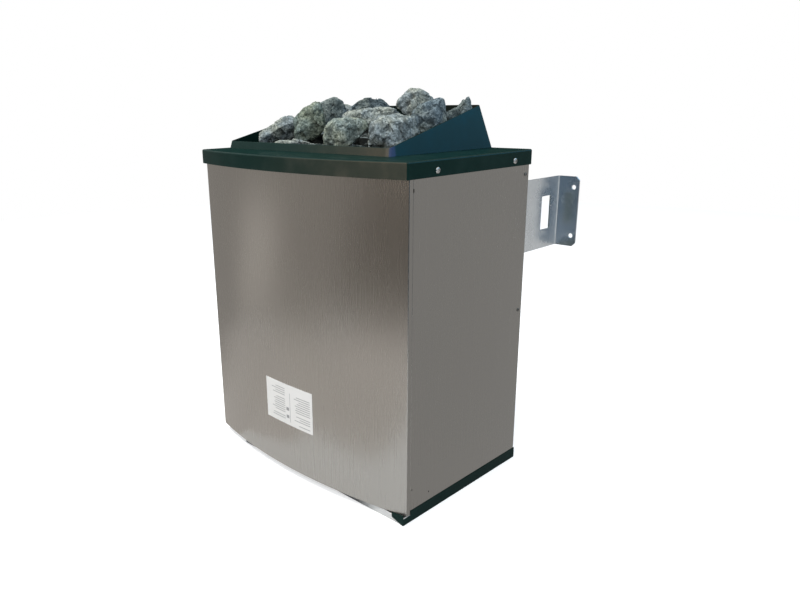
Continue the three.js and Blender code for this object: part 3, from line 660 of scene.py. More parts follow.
class Palette:
    """Every finish of the stove as a material."""

    def __init__(self) -> None:
        """Mixes each finish once."""
        finishes: dict[Slot, Finish] = {
            Slot.STEEL: BrushedSheet("casing_steel"),
            Slot.PAINT: HeatPaint("rim_paint"),
            Slot.ZINC: ZincCoat("zinc_coat"),
            Slot.SCREW: WornMetal("screw_steel", (0.72, 0.71, 0.69), (0.40, 0.39, 0.37), 0.24, 300, 0.4),
            Slot.LINER: WornMetal("liner_steel", (0.40, 0.40, 0.41), (0.20, 0.18, 0.17), 0.45, 22, 0.7),
            Slot.ELEMENT: WornMetal("element_steel", (0.20, 0.17, 0.15), (0.07, 0.06, 0.06), 0.5, 40, 0.8),
            Slot.BRASS: WornMetal("terminal_brass", (0.66, 0.47, 0.20), (0.36, 0.24, 0.12), 0.3, 120, 0.5),
            Slot.SLEEVE: Dielectric("silicone_sleeve", (0.42, 0.060, 0.040), (0.30, 0.045, 0.035), 0.62),
            Slot.CERAMIC: Dielectric("steatite", (0.70, 0.66, 0.57), (0.60, 0.56, 0.48), 0.6),
            Slot.PLASTIC: Dielectric("gland_nylon", (0.020, 0.020, 0.022), (0.013, 0.013, 0.014), 0.45),
        }
        self._materials = {slot: finish.material() for slot, finish in finishes.items()}
        self._rocks = {tone: SplitRock(f"rock_{tone.name.lower()}", tone).material() for tone in StoneTone}
        self.paper = RuledPaper("label_paper").material()
        # The base's zinc gets painted shade toward its middle, under the bowed front.
        self.dull_zinc = ZincCoat("dull_zinc", (0.66, 0.655, 0.645), 0.48, 0.25, 0.9).material()
        grey, black = (0.26, 0.255, 0.245), (0.12, 0.115, 0.11)
        self.dark_screw = WornMetal("dark_screw", grey, black, 0.42, 300, 0.5).material()

    def of(self, slot: Slot) -> bpy.types.Material:
        """The material of a slot."""
        return self._materials[slot]

    def rock(self, tone: StoneTone) -> bpy.types.Material:
        """The material of a stone."""
        return self._rocks[tone]


# Meshes


def new_object(name: str, data: bpy.types.ID) -> bpy.types.Object:
    """An object at the origin.

    Args:
        name: The object's name.
        data: Its mesh, lamp or camera.

    Returns:
        The object, in the scene.
    """
    piece = bpy.data.objects.new(name, data)
    bpy.context.scene.collection.objects.link(piece)
    return piece


def crease(mesh: bpy.types.Mesh) -> None:
    """Shades a mesh smooth up to the sharp angle."""
    mesh.shade_smooth()
    mesh.set_sharp_from_angle(angle=SHARP)


def applied(host: bpy.types.Object) -> bpy.types.Mesh:
    """A host's mesh with its modifiers applied."""
    depsgraph = bpy.context.evaluated_depsgraph_get()
    return bpy.data.meshes.new_from_object(host.evaluated_get(depsgraph), depsgraph=depsgraph)


def settled(host: bpy.types.Object, name: str, material: bpy.types.Material) -> bpy.types.Object:
    """Turns a host and its modifiers into a plain piece.

    Args:
        host: The object with live modifiers, which is removed.
        name: The piece's name.
        material: The piece's material.

    Returns:
        The piece, at the origin.
    """
    mesh = applied(host)
    bpy.data.objects.remove(host)
    mesh.name = name
    mesh.materials.clear()
    mesh.materials.append(material)
    return new_object(name, mesh)


def host_from(name: str, shape: bmesh.types.BMesh, outward: bool = True) -> bpy.types.Object:
    """A working object from a bmesh, smooth up to the sharp angle.

    Args:
        name: The object's name.
        shape: The bmesh, which is freed.
        outward: Whether to turn the faces outwards.

    Returns:
        The working object.
    """
    if outward:
        bmesh.ops.recalc_face_normals(shape, faces=shape.faces)
    mesh = bpy.data.meshes.new(name)
    shape.to_mesh(mesh)
    shape.free()
    crease(mesh)
    return new_object(name + "_host", mesh)


def copy_of(node: str) -> bmesh.types.BMesh:
    """A node's solid with its doubles merged.

    Args:
        node: The solid's node.

    Returns:
        The copy.
    """
    shape = bmesh.new()
    shape.from_mesh(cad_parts[node].data)
    bmesh.ops.remove_doubles(shape, verts=shape.verts, dist=MERGE)
    return shape


def cut_out(host: bpy.types.Object, *cutters: bpy.types.Object, keep: bool = False) -> bpy.types.Object:
    """Cuts shapes out of a host, or keeps only what is inside them.

    Args:
        host: The working object, which is removed.
        cutters: Closed shapes, which are removed.
        keep: Whether to keep the inside.

    Returns:
        A working object with the cuts made.
    """
    for cutter in cutters:
        boolean = host.modifiers.new("cut", "BOOLEAN")
        boolean.operation = "INTERSECT" if keep else "DIFFERENCE"
        boolean.solver = "EXACT"
        boolean.object = cutter
    mesh = applied(host)
    for spent in (host, *cutters):
        bpy.data.objects.remove(spent)
    crease(mesh)
    return new_object("cut_host", mesh)


def bridge(shape: bmesh.types.BMesh, first: Sequence[Any], second: Sequence[Any], wrap: bool = True) -> None:
    """Joins two rows of vertices with quads.

    Args:
        shape: The bmesh they belong to.
        first: One row.
        second: The other, with as many vertices.
        wrap: Whether the rows close on themselves.
    """
    count = len(first)
    for k in range(count if wrap else count - 1):
        after = (k + 1) % count
        shape.faces.new((first[k], first[after], second[after], second[k]))


def skin_over(
    rows: Sequence[Sequence[Vector]],
    wrap: bool = True,
    loop: bool = True,
    cap: Cap = Cap.NONE,
) -> bmesh.types.BMesh:
    """A skin of quads over rows of points.

    Args:
        rows: Rows with the same number of points.
        wrap: Whether each row closes on itself.
        loop: Whether the last row joins the first.
        cap: Which openings are closed.

    Returns:
        The skin.
    """
    shape = bmesh.new()
    verts = [[shape.verts.new(point) for point in row] for row in rows]
    for first, second in zip(verts, verts[1:] + ([verts[0]] if loop else [])):
        bridge(shape, first, second, wrap)
    if cap is not Cap.NONE:
        ends = verts if cap is Cap.ROWS else list(zip(*verts))
        for end in (ends[0], ends[-1]):
            shape.faces.new(end)
    return shape


def prism(outline: Sequence[Flat], low: float, high: float, run: Run) -> bpy.types.Object:
    """A closed prism for cutting.

    Args:
        outline: Points round the section.
        low: Where the run starts.
        high: Where the run ends.
        run: Which way it is run.

    Returns:
        A working object.
    """
    rows = [[run.place(u, v, w) for u, v in outline] for w in (low, high)]
    return host_from("cutter", skin_over(rows, loop=False, cap=Cap.ROWS))


def rounded_box(u0: float, u1: float, v0: float, v1: float, radius: float, steps: int = 6) -> list[Flat]:
    """Points round a rectangle with round corners, from its lower right side onwards.

    Args:
        u0: Left side.
        u1: Right side.
        v0: Lower side.
        v1: Upper side.
        radius: Corner radius.
        steps: Steps round each corner.

    Returns:
        The points, counter-clockwise.
    """
    corners = ((u1, v0, 1, -1), (u1, v1, 1, 1), (u0, v1, -1, 1), (u0, v0, -1, -1))
    points = []
    for quarter, (u, v, out, up) in enumerate(corners):
        for k in range(steps + 1):
            angle = (quarter - 1 + k / steps) * math.pi / 2
            points.append((u + radius * (math.cos(angle) - out), v + radius * (math.sin(angle) - up)))
    return points


def ring_points(u: float, v: float, radius: float, steps: int = 28) -> list[Flat]:
    """Points round a circle."""
    turns = [2 * math.pi * k / steps for k in range(steps)]
    return [(u + radius * math.cos(turn), v + radius * math.sin(turn)) for turn in turns]


def bowed(x: float, half: float, rise: float, outward: float = 0.0) -> float:
    """How far back a bowed face is at x; half is half its width, rise its bow and outward its shift."""
    radius = (half**2 + rise**2) / (2 * rise)
    return radius - rise - math.sqrt((radius + outward) ** 2 - x * x)


@dataclass
class SheetLine:
    """The middle line of a bent sheet, with the outward normal at each point."""

    points: np.ndarray
    normals: np.ndarray

    @classmethod
    def through(
        cls,
        corners: Sequence[Flat],
        radius: float,
        closed: bool = False,
        steps: int = 6,
    ) -> "SheetLine":
        """Follows corners with rounded bends.

        Args:
            corners: The line's corners, counter-clockwise round the object.
            radius: Bend radius of the middle line.
            closed: Whether the line closes on itself.
            steps: Steps round each bend.

        Returns:
            The line; nearly straight corners stay as they are.
        """
        line = np.array(corners, float)
        ahead = np.roll(line, -1, 0) - line
        lengths = np.linalg.norm(ahead, axis=1)
        ahead = ahead / lengths[:, None]
        sides = np.stack([ahead[:, 1], -ahead[:, 0]], 1)
        points, normals = [], []
        last = len(line) - 1
        for k, corner in enumerate(line):
            if not closed and k in (0, last):
                points.append(corner)
                normals.append(sides[0] if k == 0 else sides[last - 1])
                continue
            before, after = sides[k - 1], sides[k]
            cross = before[0] * after[1] - before[1] * after[0]
            turn = math.atan2(cross, float(before @ after))
            if abs(turn) < STRAIGHT:
                middle = before + after
                points.append(corner)
                normals.append(middle / np.linalg.norm(middle))
                continue
            tangent = radius * math.tan(abs(turn) / 2)
            start = corner - ahead[k - 1] * min(tangent, LEG_SHARE * lengths[k - 1])
            bend = math.copysign(radius, turn)
            centre = start - bend * before
            for angle in np.linspace(0, turn, steps + 1):
                sine, cosine = math.sin(angle), math.cos(angle)
                normal = np.array([[cosine, -sine], [sine, cosine]]) @ before
                points.append(centre + bend * normal)
                normals.append(normal)
        return cls(np.array(points), np.array(normals))

    def shifted(self, out: float) -> list[Flat]:
        """The line moved outwards by that much."""
        return [tuple(point) for point in self.points + self.normals * out]

    def sheet(self, thickness: float, low: float, high: float, run: Run = Run.UP) -> bmesh.types.BMesh:
        """A sheet on both sides of an open line.

        Args:
            thickness: The sheet's thickness.
            low: Where its run starts.
            high: Where its run ends.
            run: Which way it is run.

        Returns:
            The closed sheet.
        """
        half = thickness / 2
        rows = [
            [run.place(u, v, w) for u, v in self.shifted(out)]
            for out, w in ((half, low), (half, high), (-half, high), (-half, low))
        ]
        return skin_over(rows, wrap=False, cap=Cap.ENDS)


# Geometry Nodes


class GeometryTree(NodeTree):
    """A Geometry Nodes tree with named inputs."""

    def __init__(self, name: str) -> None:
        """Starts the tree with its geometry sockets.

        Args:
            name: The tree's name.
        """
        group = bpy.data.node_groups.new(name, "GeometryNodeTree")
        super().__init__(group)
        group.interface.new_socket("Geometry", in_out="INPUT", socket_type="NodeSocketGeometry")
        group.interface.new_socket("Geometry", in_out="OUTPUT", socket_type="NodeSocketGeometry")
        self.group = group
        self.geometry = self.add("NodeGroupInput", None, None, "Geometry")
        self.identifiers: dict[str, str] = {}
        self.coat = self.entry("Material", "NodeSocketMaterial")

    def entry(self, name: str, kind: str = "NodeSocketFloat") -> Field:
        """Adds a named input.

        Args:
            name: The input's name.
            kind: Blender's socket type.

        Returns:
            The input.
        """
        socket = self.group.interface.new_socket(name, in_out="INPUT", socket_type=kind)
        self.identifiers[name] = socket.identifier
        return self.geometry.out(name)

    def stored(self, name: str, kind: str) -> Field:
        """A value that was stored with the host."""
        return self.add("GeometryNodeInputNamedAttribute", {"data_type": kind}, {"Name": name})

    def rod(self, curve: Field, radius: Field, sides: int) -> Field:
        """A round bar along a curve.

        Args:
            curve: The curve.
            radius: The bar's radius.
            sides: Sides of its section.

        Returns:
            The bar.
        """
        circle = {"Resolution": sides, "Radius": radius}
        ring = self.add("GeometryNodeCurvePrimitiveCircle", {"mode": "RADIUS"}, circle)
        sockets = {"Curve": curve, "Profile Curve": ring, "Fill Caps": True}
        return self.add("GeometryNodeCurveToMesh", None, sockets)

    def finish(self, geometry: Field) -> "GeometryTree":
        """Ends the tree: real geometry with its material.

        Args:
            geometry: What the tree makes.

        Returns:
            The tree.
        """
        whole = self.add("GeometryNodeRealizeInstances", None, {0: geometry})
        coated = self.add("GeometryNodeSetMaterial", None, {"Geometry": whole, "Material": self.coat})
        self.add("NodeGroupOutput", None, {0: coated})
        return self

    def grow(
        self,
        host: bpy.types.Object,
        name: str,
        material: bpy.types.Material,
        values: dict[str, Any],
    ) -> bpy.types.Object:
        """Runs the tree on a host and settles the result.

        Args:
            host: The working object, which is removed.
            name: The piece's name.
            material: The piece's material.
            values: Values of the named inputs.

        Returns:
            The finished piece.
        """
        modifier = host.modifiers.new(name, "NODES")
        modifier.node_group = self.group
        for title, value in {"Material": material, **values}.items():
            modifier[self.identifiers[title]] = value
        return settled(host, name, material)


def template_tree() -> GeometryTree:
    """Sets a template on every point of the host, its z along the point's direction.

    Returns:
        The tree.
    """
    tree = GeometryTree("set_on_points")
    template = tree.entry("Template", "NodeSocketObject")
    size = tree.entry("Size")
    shape = tree.add("GeometryNodeObjectInfo", None, {"Object": template}, "Geometry")
    outward = tree.stored("outward", "FLOAT_VECTOR")
    upright = tree.add("FunctionNodeAlignRotationToVector", {"axis": "Z"}, {"Vector": outward})
    turn = {"Axis": (0.0, 0.0, 1.0), "Angle": tree.stored("turn", "FLOAT")}
    twist = tree.add("FunctionNodeAxisAngleToRotation", None, turn)
    facing = tree.add("FunctionNodeRotateRotation", {"rotation_space": "LOCAL"}, {0: upright, 1: twist})
    sockets = {"Points": tree.geometry, "Instance": shape, "Rotation": facing, "Scale": size}
    return tree.finish(tree.add("GeometryNodeInstanceOnPoints", None, sockets))


def tube_tree() -> GeometryTree:
    """Runs a round tube along the host's edges, with its corners bent.

    Returns:
        The tree.
    """
    steps, sides = 10, 14
    tree = GeometryTree("bent_tube")
    radius = tree.entry("Radius")
    bend = tree.entry("Bend radius")
    line = tree.add("GeometryNodeMeshToCurve", None, {"Mesh": tree.geometry})
    sockets = {"Curve": line, "Radius": bend, "Limit Radius": True, "Count": steps}
    bent = tree.add("GeometryNodeFilletCurve", {"mode": "POLY"}, sockets)
    return tree.finish(tree.rod(bent, radius, sides))


def grate_tree() -> GeometryTree:
    """Lays a row of round bars over two bearers; the host is only its place.

    Returns:
        The tree.
    """
    bearers, sides = 2, 12
    tree = GeometryTree("stone_grate")
    count = tree.entry("Bars", "NodeSocketInt")
    radius = tree.entry("Bar radius")
    titles = ("First bar", "Bar pitch", "Bar reach", "Front bearer", "Bearer gauge", "Bearer reach")
    vectors = [tree.entry(title, "NodeSocketVector") for title in titles]
    rows = []
    for number, (start, step, end) in ((count, vectors[:3]), (bearers, vectors[3:])):
        sockets = {"Count": number, "Start Location": start, "Offset": step}
        points = tree.add("GeometryNodeMeshLine", None, sockets)
        bar = tree.rod(tree.add("GeometryNodeCurvePrimitiveLine", None, {"End": end}), radius, sides)
        rows.append(tree.add("GeometryNodeInstanceOnPoints", None, {"Points": points, "Instance": bar}))
    joined = tree.add("GeometryNodeJoinGeometry", None, {0: rows[0]})
    tree.plug(joined.node, {0: rows[1]})
    return tree.finish(joined)


def rock_tree() -> GeometryTree:
    """Breaks a smooth lump into tilted facets with a rough grain, and stores its facets and the depth of its
    hollows for painted crevice shade.

    Returns:
        The tree.
    """
    finer, weaker, coarser = 0.42, 0.45, 3.2
    tree = GeometryTree("split_rock")
    facet = tree.entry("Facet size")
    tilt = tree.entry("Facet tilt")
    grain = tree.entry("Grain size")
    depth = tree.entry("Grain depth")
    proud = tree.entry("Most proud")
    seed = tree.entry("Seed", "NodeSocketVector")
    shifted = tree.vector("ADD", tree.add("GeometryNodeInputPosition"), seed)
    slope = 0.0
    for size, share in ((facet, 1.0), (finer * facet, weaker)):
        cell = tree.cells(shifted, 1.0 / size)
        arm = tree.vector("SUBTRACT", shifted, cell.out("Position"))
        lean = tree.vector("SUBTRACT", cell.out("Color"), (0.5, 0.5, 0.5))
        slope = slope + share * tree.vector("DOT_PRODUCT", arm, lean, output="Value")
    coarse = tree.noise(shifted, 1.0 / (coarser * grain), 3, 0.6)
    rough = tree.noise(shifted, 1.0 / grain, 4, 0.65)
    height = tilt * slope + depth * (1.2 * (coarse - 0.56) + (rough - 0.5))
    push = {"Vector": tree.add("GeometryNodeInputNormal"), "Scale": height.at_most(proud)}
    offset = tree.add("ShaderNodeVectorMath", {"operation": "SCALE"}, push)
    stone = tree.add("GeometryNodeSetPosition", None, {"Geometry": tree.geometry, "Offset": offset})
    # How deep a point lies, which the rock material turns into painted crevice shade.
    hollow = height.eased(-0.0004, -0.0024)
    shade = tree.vector("LENGTH", lean, output="Value")
    settings = {"data_type": "FLOAT", "domain": "POINT"}
    for name, value in (("hollow", hollow), ("facet", shade)):
        sockets = {"Geometry": stone, "Name": name, "Value": value}
        stone = tree.add("GeometryNodeStoreNamedAttribute", settings, sockets)
    return tree.finish(stone)


def line_host(points: Sequence[Vector]) -> bpy.types.Object:
    """A working object of one open line.

    Args:
        points: The line's points.

    Returns:
        The working object.
    """
    mesh = bpy.data.meshes.new("line")
    mesh.from_pydata(points, [(k, k + 1) for k in range(len(points) - 1)], [])
    return new_object("line_host", mesh)


def set_on_points(
    template: bpy.types.Object,
    spots: Sequence[tuple[Vector, Vector, float]],
    name: str,
    material: bpy.types.Material,
) -> bpy.types.Object:
    """Sets a template on points.

    Args:
        template: The object to set, which is removed.
        spots: Each point with its direction and a turn about it.
        name: The piece's name.
        material: The piece's material.

    Returns:
        The piece.
    """
    points, outward, turns = zip(*spots)
    mesh = bpy.data.meshes.new("points")
    mesh.from_pydata(points, [], [])
    directions = mesh.attributes.new("outward", "FLOAT_VECTOR", "POINT")
    directions.data.foreach_set("vector", [part for way in outward for part in way])
    mesh.attributes.new("turn", "FLOAT", "POINT").data.foreach_set("value", turns)
    host = new_object("points_host", mesh)
    piece = template_tree().grow(host, name, material, {"Template": template, "Size": 1.0})
    bpy.data.objects.remove(template)
    return piece


# Sub-assemblies


@dataclass
class Assembly:
    """Pieces of one sub-assembly, which move with one body."""

    palette: Palette
    body: str = "stove"
    pieces: list[bpy.types.Object] = field(default_factory=list)

    def settle(self, piece: bpy.types.Object, slot: Slot | None, *nodes: str) -> bpy.types.Object:
        """Lets a piece ride its body and stand for the nodes it replaces.

        Args:
            piece: The finished piece.
            slot: The record's slot; not used.
            nodes: The solids it stands for.

        Returns:
            The piece.
        """
        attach(piece, self.body)
        if nodes:
            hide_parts(*nodes)
        self.pieces.append(piece)
        return piece

    def finish(
        self,
        host: bpy.types.Object,
        name: str,
        slot: Slot,
        node: str,
        radius: float = 0.0,
        segments: int = 2,
        material: bpy.types.Material | None = None,
    ) -> bpy.types.Object:
        """Makes a host into a piece that stands for a node.

        Args:
            host: The working object.
            name: The piece's name.
            slot: The record's slot.
            node: The solid it stands for.
            radius: Edge radius in millimetres; at 0 only the shading is evened.
            segments: Steps over the edge.
            material: Its material, if not the slot's own.

        Returns:
            The piece.
        """
        if radius:
            bevel = host.modifiers.new("edges", "BEVEL")
            bevel.limit_method = "ANGLE"
            bevel.angle_limit = SHARP
            bevel.width = radius * MM
            bevel.segments = segments
            bevel.harden_normals = True
        else:
            host.modifiers.new("shading", "WEIGHTED_NORMAL").keep_sharp = True
        return self.settle(settled(host, name, material or self.palette.of(slot)), slot, node)

    def build(self) -> None:
        """Makes the pieces."""
        raise NotImplementedError


@dataclass
class Casing(Assembly):
    """Bowed front, two flat sides and the slotted rear panel."""

    half_width: float = 209.3
    depth: float = 257.0
    sheet: float = 1.5
    bow: float = 24.5
    front_bottom: float = 10.0
    side_bottom: float = 16.3
    top: float = 475.2
    front_return: float = 6.3
    seam: float = 6.6
    front_fold: float = 13.0
    rear_fold: float = 18.0
    bend: float = 1.1
    side_bend: float = 0.8
    front_edge: float = 0.3
    side_edge: float = 0.2
    rear_edge: float = 0.25
    notch: Box = (5.6, 440.0, 2.4, 5.0)
    notch_corner: float = 1.0
    pin_holes: tuple[Flat, ...] = ((9.6, 46.4), (45.4, 28.7))
    pin_radius: float = 1.1
    cut_reach: float = 3.0
    bow_steps: int = 120
    rear_y: float = 243.0
    rear_gap: float = 0.6
    rear_bottom: float = 20.0
    rear_flange: float = 10.0
    slot_size: Flat = (50.0, 8.0)
    slot_pitch: float = 64.0
    slot_rows: tuple[float, ...] = (90.0, 120.0, 300.0)
    slots_per_row: int = 5
    gland_hole: Point = (172.0, 52.0, 10.3)
    gland_run: Flat = (-2.0, 4.0)

    def front_y(self, x: float, outward: float = 0.0) -> float:
        """How far back the front's face is at x."""
        return bowed(x, self.half_width, self.bow, outward)

    def build(self) -> None:
        """Makes the four panels."""
        self._front()
        for side in Side:
            self._side(side)
        self._rear()

    def _front(self) -> None:
        """The bowed front with its folded ends."""
        half = self.sheet / 2
        edge = self.half_width - half
        xs = np.linspace(-edge, edge, self.bow_steps + 1)
        corners = [(-edge, self.front_return)]
        corners += [(x, self.front_y(x, -half)) for x in xs]
        corners.append((edge, self.front_return))
        line = SheetLine.through(corners, self.bend)
        host = host_from("front", line.sheet(self.sheet, self.front_bottom, self.top))
        self.finish(host, "bowed_front", Slot.STEEL, "front_panel", self.front_edge)

    def _side(self, side: Side) -> None:
        """A flat side with its two folds.

        Args:
            side: Which side.
        """
        half = self.sheet / 2
        face = self.half_width - half
        front = self.seam + half
        rear = self.depth - half
        folds = (self.half_width - self.front_fold, self.half_width - self.rear_fold)
        corners = [(folds[0], front), (face, front), (face, rear), (folds[1], rear)]
        if side is Side.LEFT:
            corners = [(-x, y) for x, y in reversed(corners)]
        line = SheetLine.through(corners, self.side_bend)
        name = f"{side.word}_flat_side"
        host = host_from(name, line.sheet(self.sheet, self.side_bottom, self.top))
        host = cut_out(host, *self._side_holes(side))
        self.finish(host, name, Slot.STEEL, f"{side.word}_side_panel", self.side_edge)

    def _side_holes(self, side: Side) -> list[bpy.types.Object]:
        """Cutters of a side's two pin holes and of the notch at the top of its seam.

        Args:
            side: Which side.

        Returns:
            The cutters.
        """
        ends = sorted(side.value * (self.half_width + reach) for reach in (-self.cut_reach, self.cut_reach))
        y, z, width, height = self.notch
        outlines = [rounded_box(y, y + width, z, z + height, self.notch_corner, steps=4)]
        outlines += [ring_points(y, z, self.pin_radius, steps=16) for y, z in self.pin_holes]
        return [prism(outline, *ends, Run.ACROSS) for outline in outlines]

    def _rear(self) -> None:
        """The rear panel with round-ended air slots and the gland's hole."""
        half = self.sheet / 2
        edge = self.half_width - self.sheet - self.rear_gap - half
        right = [(edge, self.rear_y + self.rear_flange), (edge, self.rear_y + half)]
        left = [(-x, y) for x, y in reversed(right)]
        line = SheetLine.through(right + left, self.bend)
        host = host_from("rear", line.sheet(self.sheet, self.rear_bottom, self.top))
        x, z, radius = self.gland_hole
        ends = [self.rear_y + reach for reach in self.gland_run]
        host = cut_out(host, self._slot_cutters(), prism(ring_points(x, z, radius), *ends, Run.BACK))
        self.finish(host, "slotted_rear", Slot.ZINC, "rear_panel", self.rear_edge, 1)

    def _slot_cutters(self) -> bpy.types.Object:
        """One round-ended cutter set at every air slot.

        Returns:
            The cutters as one object.
        """
        width, height = self.slot_size
        outline = rounded_box(-width / 2, width / 2, -height / 2, height / 2, height / 2 - SLIVER)
        cutter = prism(outline, -self.cut_reach, self.cut_reach, Run.TEMPLATE)
        middle = (self.slots_per_row - 1) / 2
        y = self.rear_y + self.sheet / 2
        back = Vector((0, 1, 0))
        spots = [
            (place((k - middle) * self.slot_pitch, y, z + height / 2), back, 0.0)
            for z in self.slot_rows
            for k in range(self.slots_per_row)
        ]
        return set_on_points(cutter, spots, "slot_cutters", self.palette.of(Slot.ZINC))


@dataclass
class PaintedRim(Assembly):
    """Painted rim that caps the casing, with a rounded top edge and a lifted rear skirt."""

    half_width: float = 210.5
    overhang: float = 6.6
    rear: float = 262.0
    bow: float = 24.5
    skirt: float = 21.0
    top: float = 477.0
    plate: float = 1.5
    sheet: float = 0.8
    fold: float = 1.2
    corner: float = 3.4
    corner_steps: int = 8
    edge: float = 2.4
    edge_steps: int = 6
    bow_steps: int = 120
    rear_lift: float = 3.4
    mouth: Box = (-190.0, 136.0, 46.0, 236.0)
    mouth_corner: float = 4.0

    def build(self) -> None:
        """Makes the rim cover."""
        self.finish(host_from("rim", self._cover()), "rim_cover", Slot.PAINT, "top_frame")

    def _outline(self) -> SheetLine:
        """The rim's outer line with rounded corners.

        Returns:
            The closed line.
        """
        xs = np.linspace(-self.half_width, self.half_width, self.bow_steps + 1)
        corners = [(-self.half_width, self.rear)]
        corners += [(x, bowed(x, self.half_width, self.bow) - self.overhang) for x in xs]
        corners.append((self.half_width, self.rear))
        return SheetLine.through(corners, self.corner, True, self.corner_steps)

    def _lower_edge(self, y: float) -> float:
        """Height of the skirt's lower edge, which curves up at the rear.

        Args:
            y: How far back.

        Returns:
            The height.
        """
        into = max(0.0, y - (self.rear - self.rear_lift))
        reach = min(1.0, into / self.rear_lift)
        return self.top - self.skirt + self.rear_lift * (1 - math.sqrt(1 - reach * reach))

    def _cover(self) -> bmesh.types.BMesh:
        """The skin from the skirt's lower edge over the top to the mouth and back inside.

        Returns:
            The closed skin.
        """
        line = self._outline()
        outer, inner = line.shifted(0), line.shifted(-self.sheet)
        below = self.top - self.plate
        rows = [[place(x, y, self._lower_edge(y)) for x, y in outer]]
        for k in range(self.edge_steps + 1):
            angle = k / self.edge_steps * math.pi / 2
            inset = self.edge * (1 - math.cos(angle))
            z = self.top - self.edge * (1 - math.sin(angle))
            rows.append([place(x, y, z) for x, y in line.shifted(-inset)])
        rows.append([place(x, y, below) for x, y in line.shifted(-self.sheet - self.fold)])
        rows.append([place(x, y, below - self.fold) for x, y in inner])
        rows.append([place(x, y, self._lower_edge(y)) for x, y in inner])
        shape = bmesh.new()
        verts = [[shape.verts.new(point) for point in row] for row in rows]
        outside, inside = verts[:-3], [*verts[-3:], verts[0]]
        for wall in (outside, inside):
            for first, second in zip(wall, wall[1:]):
                bridge(shape, first, second)
        mouth = rounded_box(*self.mouth, self.mouth_corner)
        lips = [[shape.verts.new(place(x, y, z)) for x, y in mouth] for z in (self.top, below)]
        bridge(shape, *lips)
        for row, lip, up in ((outside[-1], lips[0], 1), (inside[0], lips[1], -1)):
            pairs = [pair for ring in (row, lip) for pair in zip(ring, ring[1:] + ring[:1])]
            edges = [shape.edges.get(pair) for pair in pairs]
            bmesh.ops.triangle_fill(shape, use_beauty=True, edges=edges, normal=(0, 0, up))
        return shape


@dataclass
class StoneHood(Assembly):
    """Painted collar round the stones, its walls leaning in and its rim sloping to the front."""

    left: float = -199.0
    right: float = 144.0
    front: float = 37.0
    rear: float = 262.0
    corner: float = 5.0
    bottom: float = 477.05
    front_height: float = 10.75
    rear_height: float = 60.25
    side_lean: float = 0.15
    front_lean: float = 0.25
    rear_lean: float = 0.37
    sheet: float = 1.2
    flange: float = 8.0
    least_corner: float = 0.8
    side_steps: int = 10
    corner_steps: int = 8
    edge_steps: int = 6

    def build(self) -> None:
        """Makes the collar."""
        self.finish(host_from("hood", self._collar()), "stone_collar", Slot.PAINT, "stone_hood")

    def _plan(self, inset: float) -> list[Flat]:
        """Points round the foot.

        Args:
            inset: How far they are drawn in.

        Returns:
            The points, also along the straight sides.
        """
        radius = max(self.corner - inset, self.least_corner)
        across = (self.left + inset, self.right - inset)
        back = (self.front + inset, self.rear - inset)
        corners = rounded_box(*across, *back, radius, self.corner_steps)
        points = []
        for k, (x, y) in enumerate(corners):
            points.append((x, y))
            if k % (self.corner_steps + 1) == self.corner_steps:
                next_x, next_y = corners[(k + 1) % len(corners)]
                for step in range(1, self.side_steps):
                    share = step / self.side_steps
                    points.append((x + share * (next_x - x), y + share * (next_y - y)))
        return points

    def _draw_in(self, x: float, y: float) -> Flat:
        """How far a wall point moves in for each millimetre of rise.

        Args:
            x: The point's x.
            y: The point's y.

        Returns:
            The moves along x and y.
        """
        across = (x - self.left) / (self.right - self.left)
        back = (y - self.front) / (self.rear - self.front)
        sideways = self.side_lean * (1 - 2 * across)
        return sideways, self.front_lean * (1 - back) - self.rear_lean * back

    def _rise(self, x: float, y: float) -> float:
        """Height of the sloping edge above a point of the foot.

        Args:
            x: The point's x.
            y: The point's y.

        Returns:
            The height.
        """
        front_top = self.front + self.front_lean * self.front_height
        rear_top = self.rear - self.rear_lean * self.rear_height
        slope = (self.rear_height - self.front_height) / (rear_top - front_top)
        lean = self._draw_in(x, y)[1]
        return (self.front_height + slope * (y - front_top)) / (1 - slope * lean)

    def _ring(self, inset: float, height: Callable[[float], float]) -> list[Vector]:
        """A ring of the wall at an inset.

        Args:
            inset: How far inside the outer face.
            height: Turns the full rise into the ring's own.

        Returns:
            Points in the row frame.
        """
        ring = []
        for (x, y), (foot_x, foot_y) in zip(self._plan(inset), self._plan(0)):
            rise = height(self._rise(foot_x, foot_y))
            lean_x, lean_y = self._draw_in(x, y)
            ring.append(place(x + rise * lean_x, y + rise * lean_y, self.bottom + rise))
        return ring

    def _collar(self) -> bmesh.types.BMesh:
        """Outer wall, rounded edge, inner wall and the flange on the rim.

        Returns:
            The closed skin.
        """
        half = self.sheet / 2
        rings = [self._ring(0, lambda rise: 0.0)]
        for k in range(self.edge_steps + 1):
            angle = math.pi * k / self.edge_steps
            drop = half * (1 - math.sin(angle))
            rings.append(self._ring(half * (1 - math.cos(angle)), lambda rise, drop=drop: rise - drop))
        for inset, height in ((self.sheet, self.sheet), (self.flange, self.sheet), (self.flange, 0.0)):
            rings.append(self._ring(inset, lambda rise, height=height: height))
        return skin_over(rings)


@dataclass
class BaseFrame(Assembly):
    """Zinc base frame and the painted skirts beside it."""

    base_edge: float = 0.35
    skirt_edge: float = 0.3

    def build(self) -> None:
        """Eases the base and both skirts, and keeps the skirts out of reflections."""
        rows = [("base_pan", "base_frame", Slot.ZINC, self.base_edge, self.palette.dull_zinc)]
        for side in Side:
            names = (f"{side.word}_base_skirt", f"{side.word}_painted_skirt")
            rows.append((*names, Slot.PAINT, self.skirt_edge, self.palette.of(Slot.PAINT)))
        for node, name, slot, radius, material in rows:
            shape = copy_of(node)
            bmesh.ops.dissolve_limit(shape, angle_limit=LEVEL, verts=shape.verts, edges=shape.edges)
            host = host_from(name, shape, outward=False)
            piece = self.finish(host, name, slot, node, radius, material=material)
            piece.visible_glossy = slot is not Slot.PAINT


